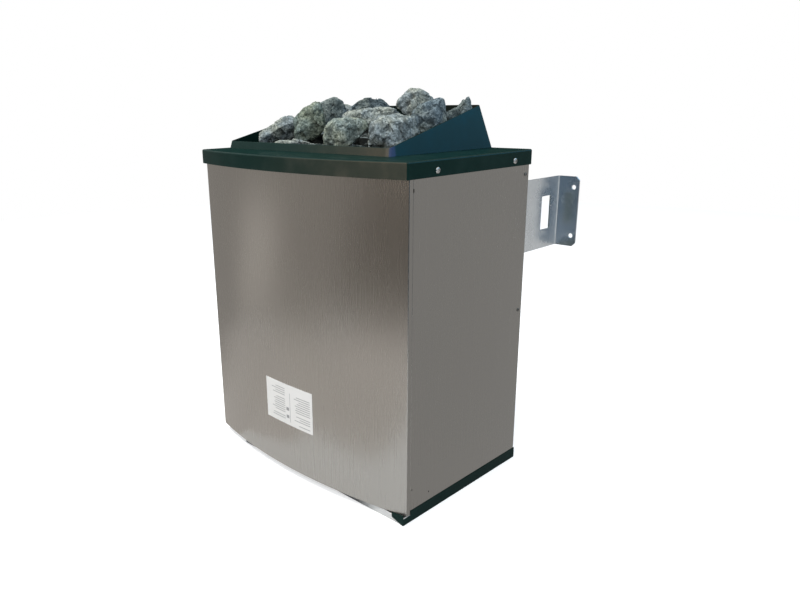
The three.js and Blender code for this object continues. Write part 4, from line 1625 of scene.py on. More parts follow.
@dataclass
class WallBracket(Assembly):
    """Hat-shaped zinc bracket: web, two arms with windows and two flanges with holes."""

    body: str = "bracket"
    arm_x: float = 204.0
    web_y: float = 258.5
    wall_y: float = 355.0
    reach: float = 33.0
    sheet: float = 2.0
    low: float = 327.5
    high: float = 432.5
    bend: float = 2.6
    bend_steps: int = 8
    edge: float = 0.22
    chamfer: float = 5.5
    window: Box = (306.0, 331.0, 355.5, 405.5)
    window_corner: float = 1.0
    hole_radius: float = 3.5
    hole_x: float = 228.5
    hole_inset: float = 16.0
    hole_reach: float = 10.0
    cut_reach: float = 5.0

    def build(self) -> None:
        """Bends the sheet and cuts its corners, windows and holes."""
        host = host_from("bracket", self._hat())
        host = cut_out(host, self._silhouette(), keep=True)
        host = cut_out(host, *self._openings())
        self.finish(host, "hanging_bracket", Slot.ZINC, "wall_bracket", self.edge)

    def _hat(self) -> bmesh.types.BMesh:
        """The bent sheet.

        Returns:
            The sheet.
        """
        half = self.sheet / 2
        arm = self.arm_x - half
        tip = self.arm_x + self.reach
        right = [(tip, self.wall_y - half), (arm, self.wall_y - half), (arm, self.web_y + half)]
        left = [(-x, y) for x, y in reversed(right)]
        line = SheetLine.through(right + left, self.bend, steps=self.bend_steps)
        return line.sheet(self.sheet, self.low, self.high)

    def _silhouette(self) -> bpy.types.Object:
        """The outline with chamfered corners, as seen from the front.

        Returns:
            The shape to keep.
        """
        tip = self.arm_x + self.reach
        cut = self.chamfer
        low, high = self.low, self.high
        right = [(tip - cut, low), (tip, low + cut), (tip, high - cut), (tip - cut, high)]
        left = [(-x, z) for x, z in reversed(right)]
        return prism(right + left, self.web_y - self.cut_reach, self.wall_y + self.cut_reach, Run.BACK)

    def _openings(self) -> list[bpy.types.Object]:
        """The window through both arms and the wall screws' holes.

        Returns:
            Their cutters.
        """
        reach = self.arm_x + self.cut_reach
        window = prism(rounded_box(*self.window, self.window_corner, steps=4), -reach, reach, Run.ACROSS)
        ends = (self.wall_y - self.hole_reach, self.wall_y + self.hole_reach)
        holes = [
            prism(ring_points(side.value * self.hole_x, z, self.hole_radius), *ends, Run.BACK)
            for side in Side
            for z in (self.low + self.hole_inset, self.high - self.hole_inset)
        ]
        return [window, *holes]


@dataclass
class HangerHooks(Assembly):
    """Zinc hooks on the rear panel, over the bracket's web."""

    spread: float = 120.0
    width: float = 30.0
    sheet: float = 2.0
    plate_y: float = 245.8
    low: float = 372.0
    under: float = 432.8
    lip_y: float = 261.8
    lip_low: float = 412.5
    bend: float = 1.5
    edge: float = 0.3

    def build(self) -> None:
        """Bends both hooks."""
        top = self.under + self.sheet / 2
        plate, lip = self.plate_y, self.lip_y
        corners = [(plate, self.low), (plate, top), (lip, top), (lip, self.lip_low)]
        line = SheetLine.through(corners, self.bend)
        for side in Side:
            middle = side.value * self.spread
            ends = (middle - self.width / 2, middle + self.width / 2)
            name = f"{side.word}_bent_hook"
            host = host_from(name, line.sheet(self.sheet, *ends, Run.ACROSS))
            self.finish(host, name, Slot.ZINC, f"{side.word}_hanger_hook", self.edge)


@dataclass(frozen=True)
class ScrewKind:
    """One kind of screw; a spot is the last word of its node's name, its y and its z."""

    node: str
    face: float
    radius: float
    height: float
    spots: tuple[tuple[str, float, float], ...]


@dataclass
class ScrewSet(Assembly):
    """Pan-head screws with a cross recess, through the rim's skirt and the sides' rear edges.

    The foot's radii, the brim, the cross and the recess are shares of a head's radius or height.
    """

    rim: ScrewKind = ScrewKind(
        "rim_screw", 210.4, 4.0, 2.6, (("front", 49.0, 463.5), ("rear", 217.0, 463.5))
    )
    edge: ScrewKind = ScrewKind(
        "side_screw", 209.2, 2.6, 1.4, (("lower", 248.0, 245.0), ("upper", 248.0, 443.0))
    )
    first_turn: float = 0.35
    next_turn: float = 1.1
    steps: int = 28
    foot: tuple[Flat, ...] = ((0.55, -1.2), (0.96, -0.1))
    brim: float = 0.18
    dome_power: float = 0.8
    dome_steps: int = 8
    arm: float = 0.62
    slit: float = 0.14
    recess: Flat = (0.42, 1.4)

    def build(self) -> None:
        """Sets the screws in their places."""
        self._set(self.rim, self.palette.of(Slot.SCREW))
        self._set(self.edge, self.palette.dark_screw)

    def _set(self, kind: ScrewKind, material: bpy.types.Material) -> None:
        """Sets one kind of screw at its spots on both sides.

        Args:
            kind: The kind of screw.
            material: The screws' material.
        """
        spots, nodes = [], []
        for side in Side:
            for word, y, z in kind.spots:
                turn = self.first_turn + self.next_turn * len(spots)
                spots.append((place(side.value * kind.face, y, z), Vector((side.value, 0, 0)), turn))
                nodes.append(f"{kind.node}_{side.word}_{word}")
        head = self._head(kind.radius, kind.height)
        self.settle(set_on_points(head, spots, f"{kind.node}s", material), Slot.SCREW, *nodes)

    def _head(self, radius: float, height: float) -> bpy.types.Object:
        """One screw's head, standing on the xy plane.

        Args:
            radius: The head's radius.
            height: The head's height.

        Returns:
            The head with its recess.
        """
        profile = [(radius * share, z) for share, z in self.foot]
        profile.append((radius, self.brim * height))
        for k in range(1, self.dome_steps):
            angle = k / self.dome_steps * math.pi / 2
            rise = self.brim + (1 - self.brim) * math.sin(angle)
            profile.append((radius * math.cos(angle) ** self.dome_power, height * rise))
        rows = []
        for r, z in profile:
            ring = ring_points(0, 0, r, self.steps)
            rows.append([Run.TEMPLATE.place(x, y, z) for x, y in ring])
        host = host_from("screw_head", skin_over(rows, loop=False, cap=Cap.ROWS))
        arm, slit = radius * self.arm, radius * self.slit
        quarter = [(arm, -slit), (arm, slit), (slit, slit)]
        cross = []
        for _ in range(4):
            cross += quarter
            quarter = [(-y, x) for x, y in quarter]
        low, high = self.recess
        return cut_out(host, prism(cross, height * low, height * high, Run.TEMPLATE))


@dataclass(frozen=True)
class Split:
    """How a stone broke, seen from the front right corner, in millimetres from its lump's middle.

    Its outline is given to the right and up. Its faces meet at the apex. Each face leans to the right and
    up, and is lifted clear of the apex.
    """

    tone: StoneTone
    outline: tuple[Flat, ...]
    apex: Flat
    faces: tuple[Point, ...]


SPLITS = {
    "left_wedge": Split(
        StoneTone.GREY,
        ((-31, -17), (-31, -12), (-29, -4), (-8, 9), (4, 18), (12, 21), (19, 21), (24, 17))
        + ((27, 4), (26, -14), (-11, -22), (-29, -21)),
        (1, 2),
        ((-0.3, 0.6, 0), (0.45, -0.85, 0)),
    ),
    "front_slab": Split(
        StoneTone.GREY,
        ((-36, 12), (-32, 16), (-4, 19), (8, 17), (18, 15), (37, 9), (34, -20), (-34, -20)),
        (0, 17),
        ((0.0, 1.4, 0), (0.05, -0.2, 0)),
    ),
    "big_left": Split(
        StoneTone.OLIVE,
        ((-25, 5), (-17, 14), (-8, 23), (1, 26), (9, 30), (15, 30), (22, 2), (20, -11))
        + ((12, -19), (0, -26), (-19, -28), (-25, -18)),
        (8, 8),
        ((-0.3, 0.15, 0), (0.6, 0.25, 0), (-0.2, 0.9, 5), (0.1, -0.7, 10)),
    ),
    "blue": Split(
        StoneTone.BLUE,
        ((-24, 14), (-16, 17), (-7, 22), (1, 24), (6, 23), (14, 18), (17, 12), (20, 2))
        + ((12, -20), (-12, -18), (-22, -2)),
        (0, 10),
        ((-0.4, 0.5, 0), (0.6, 0.0, 0), (0.1, 1.0, 5)),
    ),
    "back_small": Split(
        StoneTone.GREY,
        ((-20, 12), (-4, 14), (8, 12), (20, 8), (18, -13), (-18, -13)),
        (0, 2),
        ((0.0, 0.9, 0), (0.3, -0.1, 0)),
    ),
    "back_centre": Split(
        StoneTone.SLATE,
        ((-31, 4), (-22, 11), (-12, 17), (7, 17), (15, 15), (22, 11), (29, 5), (27, -16), (-28, -16)),
        (-4, 6),
        ((-0.2, 0.7, 0), (0.25, 0.5, 0), (0.1, -0.3, 0)),
    ),
    "front_centre": Split(
        StoneTone.GREEN,
        ((-34, -20), (-32, -3), (-30, 7), (-25, 14), (-17, 18), (13, 18), (27, 14), (30, 6))
        + ((18, -6), (9, -15), (-3, -21)),
        (-2, 9),
        ((-0.35, 0.1, 0), (0.55, 0.05, 0), (0.0, 1.2, 3)),
    ),
    "middle": Split(
        StoneTone.GREY,
        ((-42, 5), (-31, 10), (8, 15), (24, 14), (40, 10), (42, 2), (38, -14), (-38, -14)),
        (0, 5),
        ((0.0, 0.7, 0), (0.1, 0.1, 0)),
    ),
    "front_right": Split(
        StoneTone.GREY,
        ((-33, -5), (-32, 5), (-28, 14), (-18, 22), (9, 24), (26, 24), (38, 19), (45, 10))
        + ((42, 1), (14, -14), (-2, -20), (-31, -19)),
        (14, 14),
        ((-0.08, 0.12, 0), (0.75, -0.1, 0), (0.0, 1.1, 0), (-0.6, -0.7, 29)),
    ),
    "peak": Split(
        StoneTone.GREY,
        ((-27, -4), (-24, 5), (-13, 14), (-6, 20), (3, 20), (11, 15), (24, 9), (27, 3))
        + ((19, -14), (-6, -19), (-19, -14)),
        (-4, 6),
        ((-0.1, 0.3, 0), (-0.8, -0.2, 6), (0.55, 0.25, 0), (0.1, 1.1, 5)),
    ),
    "right": Split(
        StoneTone.BLUE,
        ((-22, -6), (-18, 13), (-6, 20), (10, 25), (17, 27), (21, 25), (23, 18), (25, -4))
        + ((12, -14), (-6, -21)),
        (6, 10),
        ((-0.1, 0.8, 0), (0.8, 0.0, 4), (-0.35, -0.05, 0), (0.2, 0.1, 6)),
    ),
    "right_low": Split(
        StoneTone.SLATE,
        ((-13, 4), (-7, 10), (11, 13), (14, 2), (9, -13), (-12, -12)),
        (0, 2),
        ((0.0, 0.6, 0), (0.5, 0.0, 0)),
    ),
    "right_point": Split(
        StoneTone.BLUE,
        ((-9, -9), (-4, 3), (5, 15), (9, 16), (12, 11), (14, -1), (11, -18), (-11, -18)),
        (4, 0),
        ((-0.5, 0.0, 0), (0.6, -0.1, 0)),
    ),
}


@dataclass
class StonePile(Assembly):
    """Rough split stones heaped in the collar, each broken from its own lump."""

    voxel: float = 1.3
    bed_voxel: float = 1.8
    axes: tuple[Point, Point, Point] = ((0.7071, 0.7071, 0.0), (0.0, 0.0, 1.0), (0.7071, -0.7071, 0.0))
    far_faces: int = 5
    far_lean: float = 0.9
    chips: int = 9
    chip: float = 0.05
    chip_lean: float = 1.4
    wall_gap: float = 1.5
    facet: float = 15.0
    tilt: float = 0.58
    grain: float = 4.4
    depth: float = 1.7
    proud: float = 1.2
    seed: Point = (0.31, 0.17, 0.23)
    soften: int = 1
    splits: dict[str, Split] = field(default_factory=lambda: SPLITS)

    def build(self) -> None:
        """Breaks every stone."""
        tree = rock_tree()
        names = [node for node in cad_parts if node.startswith("stone_")]
        stones = sorted(set(names) - {"stone_hood", "stone_grate"})
        for number, node in enumerate(stones):
            self._stone(tree, node, number)

    def _stone(self, tree: GeometryTree, node: str, number: int) -> None:
        """Turns one lump into a split stone.

        Args:
            tree: The tree that breaks a lump.
            node: The lump's node.
            number: The stone's number, which varies its break.
        """
        word = node.removeprefix("stone_")
        split = self.splits.get(word)
        block = self._block(node, split, number) if split else copy_of(node)
        host = host_from(word, block, outward=split is not None)
        remesh = host.modifiers.new("skin", "REMESH")
        remesh.mode = "VOXEL"
        remesh.voxel_size = (self.voxel if split else self.bed_voxel) * MM
        host.modifiers.new("soften", "SMOOTH").iterations = self.soften
        values = {
            "Facet size": self.facet * MM,
            "Facet tilt": self.tilt,
            "Grain size": self.grain * MM,
            "Grain depth": self.depth * MM,
            "Most proud": self.proud * MM,
            "Seed": tuple(part * number for part in self.seed),
        }
        # Bed stones take the tone whose steep flanks get painted shade.
        tone = split.tone if split else StoneTone.SOOTED
        piece = tree.grow(host, f"split_{word}", self.palette.rock(tone), values)
        piece.data.shade_smooth()
        self.settle(piece, Slot.STONE, node)

    def _block(self, node: str, split: Split, number: int) -> bmesh.types.BMesh:
        """A stone's outline, run through the lump's depth and cut to its split faces.

        Args:
            node: The lump's node.
            split: How the stone broke.
            number: The stone's number, which varies its far side.

        Returns:
            The angular block.
        """
        axes = np.array(self.axes)
        corners = np.array([vert.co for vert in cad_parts[node].data.vertices]) @ axes.T
        low, high = corners.min(0), corners.max(0)
        middle = (low + high) / 2
        block = bmesh.new()
        for depth in (low[2], high[2]):
            for right, up in split.outline:
                corner = np.array((middle[0] + right * MM, middle[1] + up * MM, depth))
                block.verts.new(corner @ axes)
        bmesh.ops.convex_hull(block, input=block.verts)
        spare = [vert for vert in block.verts if not vert.link_faces]
        bmesh.ops.delete(block, geom=spare, context="VERTS")
        near = np.array((middle[0] + split.apex[0] * MM, middle[1] + split.apex[1] * MM, high[2]))
        for right, up, lift in split.faces:
            self._strike(block, (near + (0, 0, lift * MM)) @ axes, np.array((right, up, 1.0)) @ axes)
        far = np.array((middle[0], middle[1], low[2])) @ axes
        chance = np.random.default_rng(number)
        for right, up in chance.uniform(-self.far_lean, self.far_lean, (self.far_faces, 2)):
            self._strike(block, far, np.array((right, up, -1.0)) @ axes)
        for right, up in chance.uniform(-self.chip_lean, self.chip_lean, (self.chips, 2)):
            way = np.array((right, up, 1.0)) @ axes
            reach = np.array([vert.co for vert in block.verts]) @ way
            beyond = reach.max() - self.chip * (reach.max() - reach.min())
            self._strike(block, way * beyond / (way @ way), way)
        self._keep_in(block)
        return block

    def _keep_in(self, block: bmesh.types.BMesh) -> None:
        """Cuts a block off at the collar's leaning walls.

        Args:
            block: The block.
        """
        hood = StoneHood(self.palette)
        inset = hood.sheet + self.wall_gap
        walls = (
            ((hood.left + inset, 0.0), (-1.0, 0.0, hood.side_lean)),
            ((hood.right - inset, 0.0), (1.0, 0.0, hood.side_lean)),
            ((0.0, hood.front + inset), (0.0, -1.0, hood.front_lean)),
            ((0.0, hood.rear - inset), (0.0, 1.0, hood.rear_lean)),
        )
        for (x, y), way in walls:
            self._strike(block, np.array(place(x, y, hood.bottom)), np.array(way))

    @staticmethod
    def _strike(block: bmesh.types.BMesh, spot: np.ndarray, way: np.ndarray) -> None:
        """Strikes off what lies beyond a plane and closes the cut.

        Args:
            block: The block.
            spot: A point of the plane.
            way: The plane's normal.
        """
        geometry = [*block.verts, *block.edges, *block.faces]
        bmesh.ops.bisect_plane(block, geom=geometry, plane_co=spot, plane_no=way, clear_outer=True)
        rim = [edge for edge in block.edges if edge.is_boundary]
        bmesh.ops.holes_fill(block, edges=rim)


@dataclass
class HeatingBank(Assembly):
    """Element tubes, their leads and the grate over them."""

    tube: float = 4.0
    rows: tuple[float, ...] = (84.0, 142.0, 200.0)
    passes: tuple[float, ...] = (310.0, 345.0, 380.0, 415.0)
    left: float = -150.0
    right: float = 100.0
    end: float = 166.0
    bend_share: float = 0.999
    lead: float = 2.0
    lead_bend: float = 16.0
    lead_gap: float = 0.6
    lead_out: float = 5.0
    lead_drop: float = 60.0
    lead_rise: float = 50.0
    lead_depth: float = 10.0
    bore_x: float = 177.0
    bore_top: float = 126.0
    bore_ys: tuple[float, ...] = (111.333, 142.0, 172.667)
    bars: int = 12
    bar_radius: float = 3.0
    grate_top: float = 451.0
    grate: Box = (-190.8, 136.8, 45.2, 234.8)
    bearers: Flat = (81.0, 211.0)

    def build(self) -> None:
        """Bends the tubes and leads and lays the grate."""
        tree = tube_tree()
        bend = (self.passes[1] - self.passes[0]) / 2
        for number, (y, bore_y) in enumerate(zip(self.rows, self.bore_ys), 1):
            tube = {"Radius": self.tube * MM, "Bend radius": self.bend_share * bend * MM}
            names = (f"element_tube_{number}", f"heating_element_{number}")
            self._bend(tree, self._element(y, bend), tube, Slot.ELEMENT, *names)
            lead = {"Radius": self.lead * MM, "Bend radius": self.lead_bend * MM}
            names = (f"sleeved_lead_{number}", f"phase_wire_{number}")
            self._bend(tree, self._lead(y, bore_y), lead, Slot.SLEEVE, *names)
        self._grate()

    def _bend(
        self,
        tree: GeometryTree,
        points: Sequence[Vector],
        sizes: dict[str, float],
        slot: Slot,
        name: str,
        node: str,
    ) -> None:
        """Bends one tube or lead.

        Args:
            tree: The tree that runs a tube along a line.
            points: The line's corners.
            sizes: The tree's radii.
            slot: The record's slot.
            name: The piece's name.
            node: The solid it stands for.
        """
        piece = tree.grow(line_host(points), name, self.palette.of(slot), sizes)
        piece.data.shade_smooth()
        self.settle(piece, slot, node)

    def _element(self, y: float, bend: float) -> list[Vector]:
        """One tube in four level passes.

        Args:
            y: The tube's row.
            bend: Radius of its bends.

        Returns:
            Its corners.
        """
        points = [place(self.end, y, self.passes[0])]
        for k, z in enumerate(self.passes[:-1]):
            x = self.left - bend if k % 2 == 0 else self.right + bend
            points += [place(x, y, z), place(x, y, self.passes[k + 1])]
        return [*points, place(self.end, y, self.passes[-1])]

    def _lead(self, y: float, bore_y: float) -> list[Vector]:
        """The sleeved lead from a tube's end to its terminal.

        Args:
            y: The tube's row.
            bore_y: The terminal's row.

        Returns:
            Its corners.
        """
        start = self.passes[0]
        corners = (
            (self.end + self.lead_gap, y, start),
            (self.bore_x + self.lead_out, y, start),
            (self.bore_x + self.lead_out, y, start - self.lead_drop),
            (self.bore_x, bore_y, self.bore_top + self.lead_rise),
            (self.bore_x, bore_y, self.bore_top - self.lead_depth),
        )
        return [place(*corner) for corner in corners]

    def _grate(self) -> None:
        """Round bars on two bearers."""
        x0, x1, y0, y1 = self.grate
        step = (x1 - x0) / self.bars
        height = self.grate_top - self.bar_radius
        front, rear = self.bearers
        values = {
            "Bars": self.bars,
            "Bar radius": self.bar_radius * MM,
            "First bar": place(x0 + step / 2, y0, height),
            "Bar pitch": (step * MM, 0.0, 0.0),
            "Bar reach": (0.0, (y1 - y0) * MM, 0.0),
            "Front bearer": place(x0, front, height - self.bar_radius),
            "Bearer gauge": (0.0, (rear - front) * MM, 0.0),
            "Bearer reach": ((x1 - x0) * MM, 0.0, 0.0),
        }
        host = line_host([place(x0, y0, height), place(x1, y0, height)])
        piece = grate_tree().grow(host, "round_bar_grate", self.palette.of(Slot.LINER), values)
        crease(piece.data)
        self.settle(piece, Slot.LINER, "stone_grate")


@dataclass
class CableEntry(Assembly):
    """Nylon gland through the rear panel and its nut inside."""

    x: float = 172.0
    z: float = 52.0
    seat: float = 244.8
    inside: float = 233.0
    reach: float = 20.0
    barrel: float = 10.0
    bore: float = 6.0
    ease: float = 0.6
    hex_radius: float = 14.0
    hex_height: float = 8.0
    dome: float = 12.0
    dome_turn: tuple[Flat, ...] = ((0.0, 5.0), (0.8, 2.4), (2.6, 0.6))
    lip: Flat = (1.4, 0.8)
    nut_gap: float = 8.1
    nut_height: float = 6.0
    nut_fit: float = 0.2
    nut_edge: float = 0.4
    steps: int = 48

    def build(self) -> None:
        """Makes the gland's turned body with its hexagon, and the nut."""
        end = self.seat + self.reach
        shoulder = self.seat + self.hex_height
        turned = [
            (self.bore, self.inside),
            (self.barrel - self.ease, self.inside),
            (self.barrel, self.inside + self.ease),
            (self.barrel, self.seat),
            (0.0, self.seat),
            (0.0, shoulder),
            (self.dome, shoulder),
            *[(self.dome - inset, end - back) for inset, back in self.dome_turn],
            (self.bore + self.lip[0], end),
            (self.bore, end - self.lip[1]),
        ]
        self.finish(host_from("gland", self._turn(turned)), "nylon_gland", Slot.PLASTIC, "cable_gland")
        hole = self.barrel + self.nut_fit
        low = self.seat - self.nut_gap
        high = low + self.nut_height
        nut = host_from("nut", self._turn([(hole, low), (0.0, low), (0.0, high), (hole, high)]))
        self.finish(nut, "nylon_nut", Slot.PLASTIC, "gland_nut", self.nut_edge)

    def _turn(self, profile: Sequence[Flat]) -> bmesh.types.BMesh:
        """Turns a profile round the gland's axis.

        Args:
            profile: Radius and y of each ring; a radius of 0 stands for the hexagon.

        Returns:
            The closed skin.
        """
        sixth = math.pi / 3
        rows = []
        for radius, y in profile:
            row = []
            for k in range(self.steps):
                angle = 2 * math.pi * k / self.steps
                sector = (angle + sixth / 2) % sixth - sixth / 2
                flat = self.hex_radius * math.cos(sixth / 2) / math.cos(sector)
                r = radius if radius > 0 else flat
                row.append(place(self.x + r * math.sin(angle), y, self.z + r * math.cos(angle)))
            rows.append(row)
        return skin_over(rows)


@dataclass
class PaperLabel(Assembly):
    """White label low on the front, with plain rules."""

    left: float = -53.8
    right: float = 50.3
    low: float = 83.0
    high: float = 147.5
    lift: float = 0.12
    steps: int = 24

    def build(self) -> None:
        """Lays the paper on the bowed front."""
        casing = Casing(self.palette)
        xs = np.linspace(self.left, self.right, self.steps + 1)
        section = ((0, self.low), (self.lift, self.low), (self.lift, self.high), (0, self.high))
        rows = [[place(x, casing.front_y(x) - out - SLIVER, z) for x in xs] for out, z in section]
        shape = skin_over(rows, wrap=False, cap=Cap.ENDS)
        sheet = shape.loops.layers.uv.new("paper")
        for face in shape.faces:
            for loop in face.loops:
                spot = loop.vert.co / MM
                across = (spot.x - self.left) / (self.right - self.left)
                loop[sheet].uv = (across, (spot.z - self.low) / (self.high - self.low))
        self.settle(settled(host_from("label", shape), "paper_label", self.palette.paper), None)


@dataclass
class InnerWorks(Assembly):
    """Solids behind the panels that keep their shape."""

    liners: tuple[str, ...] = (
        "inner_liner",
        "front_heat_shield",
        "element_flange",
        "element_support",
        "left_grate_rail",
        "right_grate_rail",
    )

    def build(self) -> None:
        """Gives each solid its finish."""
        coats = {node: Slot.LINER for node in self.liners}
        coats |= {"star_link": Slot.BRASS, "earth_stud": Slot.BRASS}
        coats |= {"terminal_block": Slot.CERAMIC, "terminal_bracket": Slot.ZINC}
        for node, slot in coats.items():
            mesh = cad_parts[node].data
            mesh.materials.clear()
            mesh.materials.append(self.palette.of(slot))


# Studio


@dataclass(frozen=True)
class Card:
    """A studio card that only reflections see: a sector of floor with a wall behind it."""

    name: str
    turn: Flat
    reach: Flat
    wall: Flat
    colour: Colour
    strength: float = 1.0

    def mesh(self) -> bpy.types.Mesh:
        """The sector and its wall, round the stove's axis.

        Returns:
            The mesh.
        """
        spokes = [(math.cos(math.radians(turn)), math.sin(math.radians(turn))) for turn in self.turn]
        near, far = self.reach
        low, high = self.wall
        corners = [(x * far, y * far, z) for z in (low, high) for x, y in spokes]
        corners += [(x * distance, y * distance, 0.0) for distance in (near, far) for x, y in spokes]
        faces = [(0, 1, 3, 2)] if low < high else []
        if near < far:
            faces.append((4, 5, 7, 6))
        mesh = bpy.data.meshes.new(self.name)
        mesh.from_pydata(corners, [], faces)
        return mesh


@dataclass(frozen=True)
class Lamp:
    """A soft square lamp: where it hangs, its side in metres, its power in watts and its colour."""

    name: str
    spot: Point
    size: float
    power: float
    colour: Colour


@dataclass
class Studio:
    """Camera, soft lamps, white surround, pale floor and reflection cards."""

    eye: Point = (0.7409728, -0.78450064, 0.54240233)
    ahead: Point = (-0.68576041, 0.67022846, -0.28377187)
    right: Point = (0.70212808, 0.7118844, -0.01538721)
    up: Point = (-0.19169982, 0.20979614, 0.95876836)
    lens: float = 31.3487
    sensor: float = 36.0
    shift: Flat = (0.0643, 0.01157)
    ambient: Colour = (0.31, 0.35, 0.39)
    floor_radius: float = 3.0
    floor_drop: float = 0.0008
    floor_tone: Colour = (0.80, 0.80, 0.80)
    floor_glow: float = 0.62
    aim: Point = (0.0, 0.0, 0.3)
    lamps: tuple[Lamp, ...] = (
        Lamp("key", (-0.6, -0.9, 2.5), 0.8, 54.0, (1.0, 0.99, 0.96)),
        Lamp("front_fill", (1.0, -1.3, 1.5), 1.2, 14.0, (1.0, 1.0, 1.0)),
        Lamp("right_fill", (1.7, 0.2, 1.2), 1.2, 7.0, (0.60, 0.82, 1.0)),
        Lamp("rear_top", (0.2, 1.4, 2.0), 1.2, 3.0, (0.95, 0.98, 1.0)),
    )
    cards: tuple[Card, ...] = (
        Card("left_board", (165, 207), (0.38, 2.5), (0.0, 1.5), (0.42, 0.405, 0.385)),
        Card("near_left", (200, 227), (0.25, 0.84), (0.0, 0.0), (0.745, 0.722, 0.695)),
        Card("near_front", (227, 254), (0.27, 0.90), (0.0, 0.0), (0.795, 0.772, 0.742)),
        Card("near_right", (254, 288), (0.33, 0.64), (0.0, 0.0), (0.77, 0.745, 0.717)),
        Card("light_band", (254, 288), (0.64, 1.00), (0.0, 0.0), (0.90, 0.872, 0.840)),
        Card("dim_band", (207, 221), (0.84, 1.20), (0.0, 0.0), (0.62, 0.60, 0.575)),
        Card("bright_board", (207, 221), (1.20, 2.5), (0.0, 0.12), (0.83, 0.80, 0.765)),
        Card("bright_wall", (207, 221), (2.5, 2.5), (0.12, 1.5), (0.46, 0.445, 0.42)),
        Card("front_board", (221, 245), (0.90, 2.5), (0.0, 1.5), (0.43, 0.41, 0.385)),
        Card("dark_board", (245, 280), (1.00, 2.5), (0.0, 1.5), (0.215, 0.197, 0.175)),
        Card("dusk_wall", (242, 256), (2.45, 2.45), (0.02, 1.5), (0.36, 0.342, 0.325)),
        Card("camera_board", (280, 321), (1.00, 2.5), (0.0, 1.5), (0.02, 0.055, 0.095)),
        Card("side_board", (-39, 95), (0.15, 2.5), (0.0, 0.80), (0.445, 0.45, 0.45)),
        Card("blue_board", (-39, 95), (2.5, 2.5), (0.80, 1.5), (0.28, 0.58, 0.82)),
        Card("rear_board", (95, 165), (0.50, 2.5), (0.0, 3.0), (0.03, 0.05, 0.05)),
        Card("warm_strip", (262, 272), (1.9, 1.9), (0.62, 1.3), (1.0, 0.84, 0.68), 4.0),
        Card("cool_strip", (-2, 6), (1.9, 1.9), (0.62, 1.3), (0.75, 0.82, 1.0), 3.0),
    )

    def build(self) -> None:
        """Sets the stage."""
        self._camera()
        self._surround()
        self._floor()
        for card in self.cards:
            self._card(card)
        for lamp in self.lamps:
            self._lamp(lamp)

    def _camera(self) -> None:
        """The photograph's camera."""
        data = bpy.data.cameras.new("camera")
        data.sensor_fit = "HORIZONTAL"
        data.sensor_width = self.sensor
        data.lens = self.lens
        data.shift_x, data.shift_y = self.shift
        camera = new_object("camera", data)
        turn = Matrix((self.right, self.up, [-part for part in self.ahead])).transposed()
        camera.matrix_world = Matrix.Translation(self.eye) @ turn.to_4x4()
        bpy.context.scene.camera = camera
        bpy.context.scene.view_settings.view_transform = "Standard"

    def _surround(self) -> None:
        """White to the eye and in reflections, a soft ambient light elsewhere."""
        world = bpy.data.worlds.new("surround")
        world.use_nodes = True
        bpy.context.scene.world = world
        tree = NodeTree(world.node_tree)
        path = tree.add("ShaderNodeLightPath", None, None, "Is Camera Ray")
        seen = path.at_least(path.out("Is Glossy Ray")).at_least(path.out("Is Transmission Ray"))
        soft = tree.add("ShaderNodeBackground", None, {"Color": (*self.ambient, 1.0), "Strength": 1.0})
        white = tree.add("ShaderNodeBackground", None, {"Color": (1.0, 1.0, 1.0, 1.0), "Strength": 1.0})
        mixed = tree.add("ShaderNodeMixShader", None, {0: seen, 1: soft, 2: white})
        tree.add("ShaderNodeOutputWorld", None, {"Surface": mixed})

    def _floor(self) -> None:
        """A pale floor that keeps the shadow and is white to the eye elsewhere."""
        shape = bmesh.new()
        bmesh.ops.create_circle(shape, cap_ends=True, segments=96, radius=self.floor_radius)
        bmesh.ops.translate(shape, verts=shape.verts, vec=(0, 0, -self.floor_drop))
        floor = host_from("floor", shape, outward=False)
        floor.name = "pale_floor"
        tree = self._coat(floor.data, "pale_floor")
        seen = self.floor_glow * tree.add("ShaderNodeLightPath", None, None, "Is Camera Ray")
        matt = tree.add("ShaderNodeBsdfDiffuse", None, {"Color": (*self.floor_tone, 1.0)})
        glow = tree.add("ShaderNodeEmission", None, {"Color": (1.0, 1.0, 1.0, 1.0), "Strength": seen})
        lit = tree.add("ShaderNodeAddShader", None, {0: matt, 1: glow})
        tree.add("ShaderNodeOutputMaterial", None, {"Surface": lit})
        floor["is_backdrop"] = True

    @staticmethod
    def _coat(mesh: bpy.types.Mesh, name: str) -> NodeTree:
        """Gives a mesh a new material.

        Args:
            mesh: The mesh.
            name: The material's name.

        Returns:
            The material's empty tree.
        """
        material = bpy.data.materials.new(name)
        material.use_nodes = True
        mesh.materials.append(material)
        return NodeTree(material.node_tree)

    def _card(self, card: Card) -> None:
        """One card, hidden from everything but reflections.

        Args:
            card: The card.
        """
        board = new_object(card.name, card.mesh())
        tree = self._coat(board.data, card.name)
        sockets = {"Color": (*card.colour, 1.0), "Strength": card.strength}
        glow = tree.add("ShaderNodeEmission", None, sockets)
        tree.add("ShaderNodeOutputMaterial", None, {"Surface": glow})
        for rays in ("camera", "diffuse", "shadow", "transmission"):
            setattr(board, f"visible_{rays}", False)
        board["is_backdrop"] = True

    def _lamp(self, lamp: Lamp) -> None:
        """Hangs a lamp and aims it at the stove.

        Args:
            lamp: The lamp.
        """
        data = bpy.data.lights.new(lamp.name, "AREA")
        data.size = lamp.size
        data.energy = lamp.power
        data.color = lamp.colour
        light = new_object(lamp.name, data)
        way = Vector(self.aim) - Vector(lamp.spot)
        light.rotation_euler = way.to_track_quat("-Z", "Y").to_euler()
        light.location = lamp.spot
        light.visible_glossy = False


def write_sizes() -> None:
    """Gathers the solids' box and the dressed model's box as plain lists; nothing is written."""
    boxes = {"cad": CAD_BOX, "visual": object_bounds()}
    plain = {name: [[float(part) for part in corner] for corner in box] for name, box in boxes.items()}


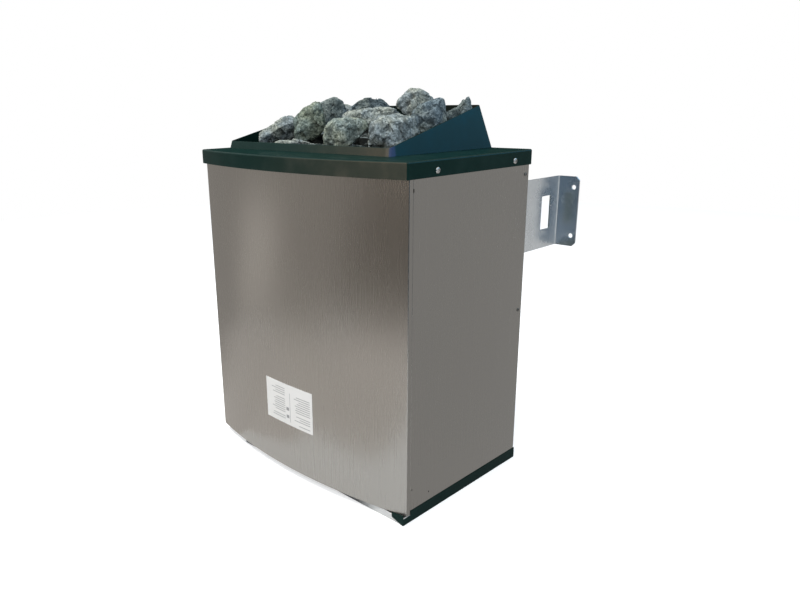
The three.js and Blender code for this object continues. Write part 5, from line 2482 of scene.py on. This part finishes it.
def main() -> None:
    """Builds every sub-assembly in order and reports its pieces."""
    logging.basicConfig(level=logging.INFO, format="%(message)s")
    palette = Palette()
    kinds = (Casing, PaintedRim, StoneHood, BaseFrame, WallBracket, HangerHooks, ScrewSet, StonePile)
    for kind in (*kinds, HeatingBank, CableEntry, PaperLabel, InnerWorks):
        assembly = kind(palette)
        assembly.build()
        for piece in assembly.pieces:
            LOG.info("%s: %s, %d faces", kind.__name__, piece.name, len(piece.data.polygons))
    Studio().build()
    write_sizes()


if __name__ == "__main__":
    main()
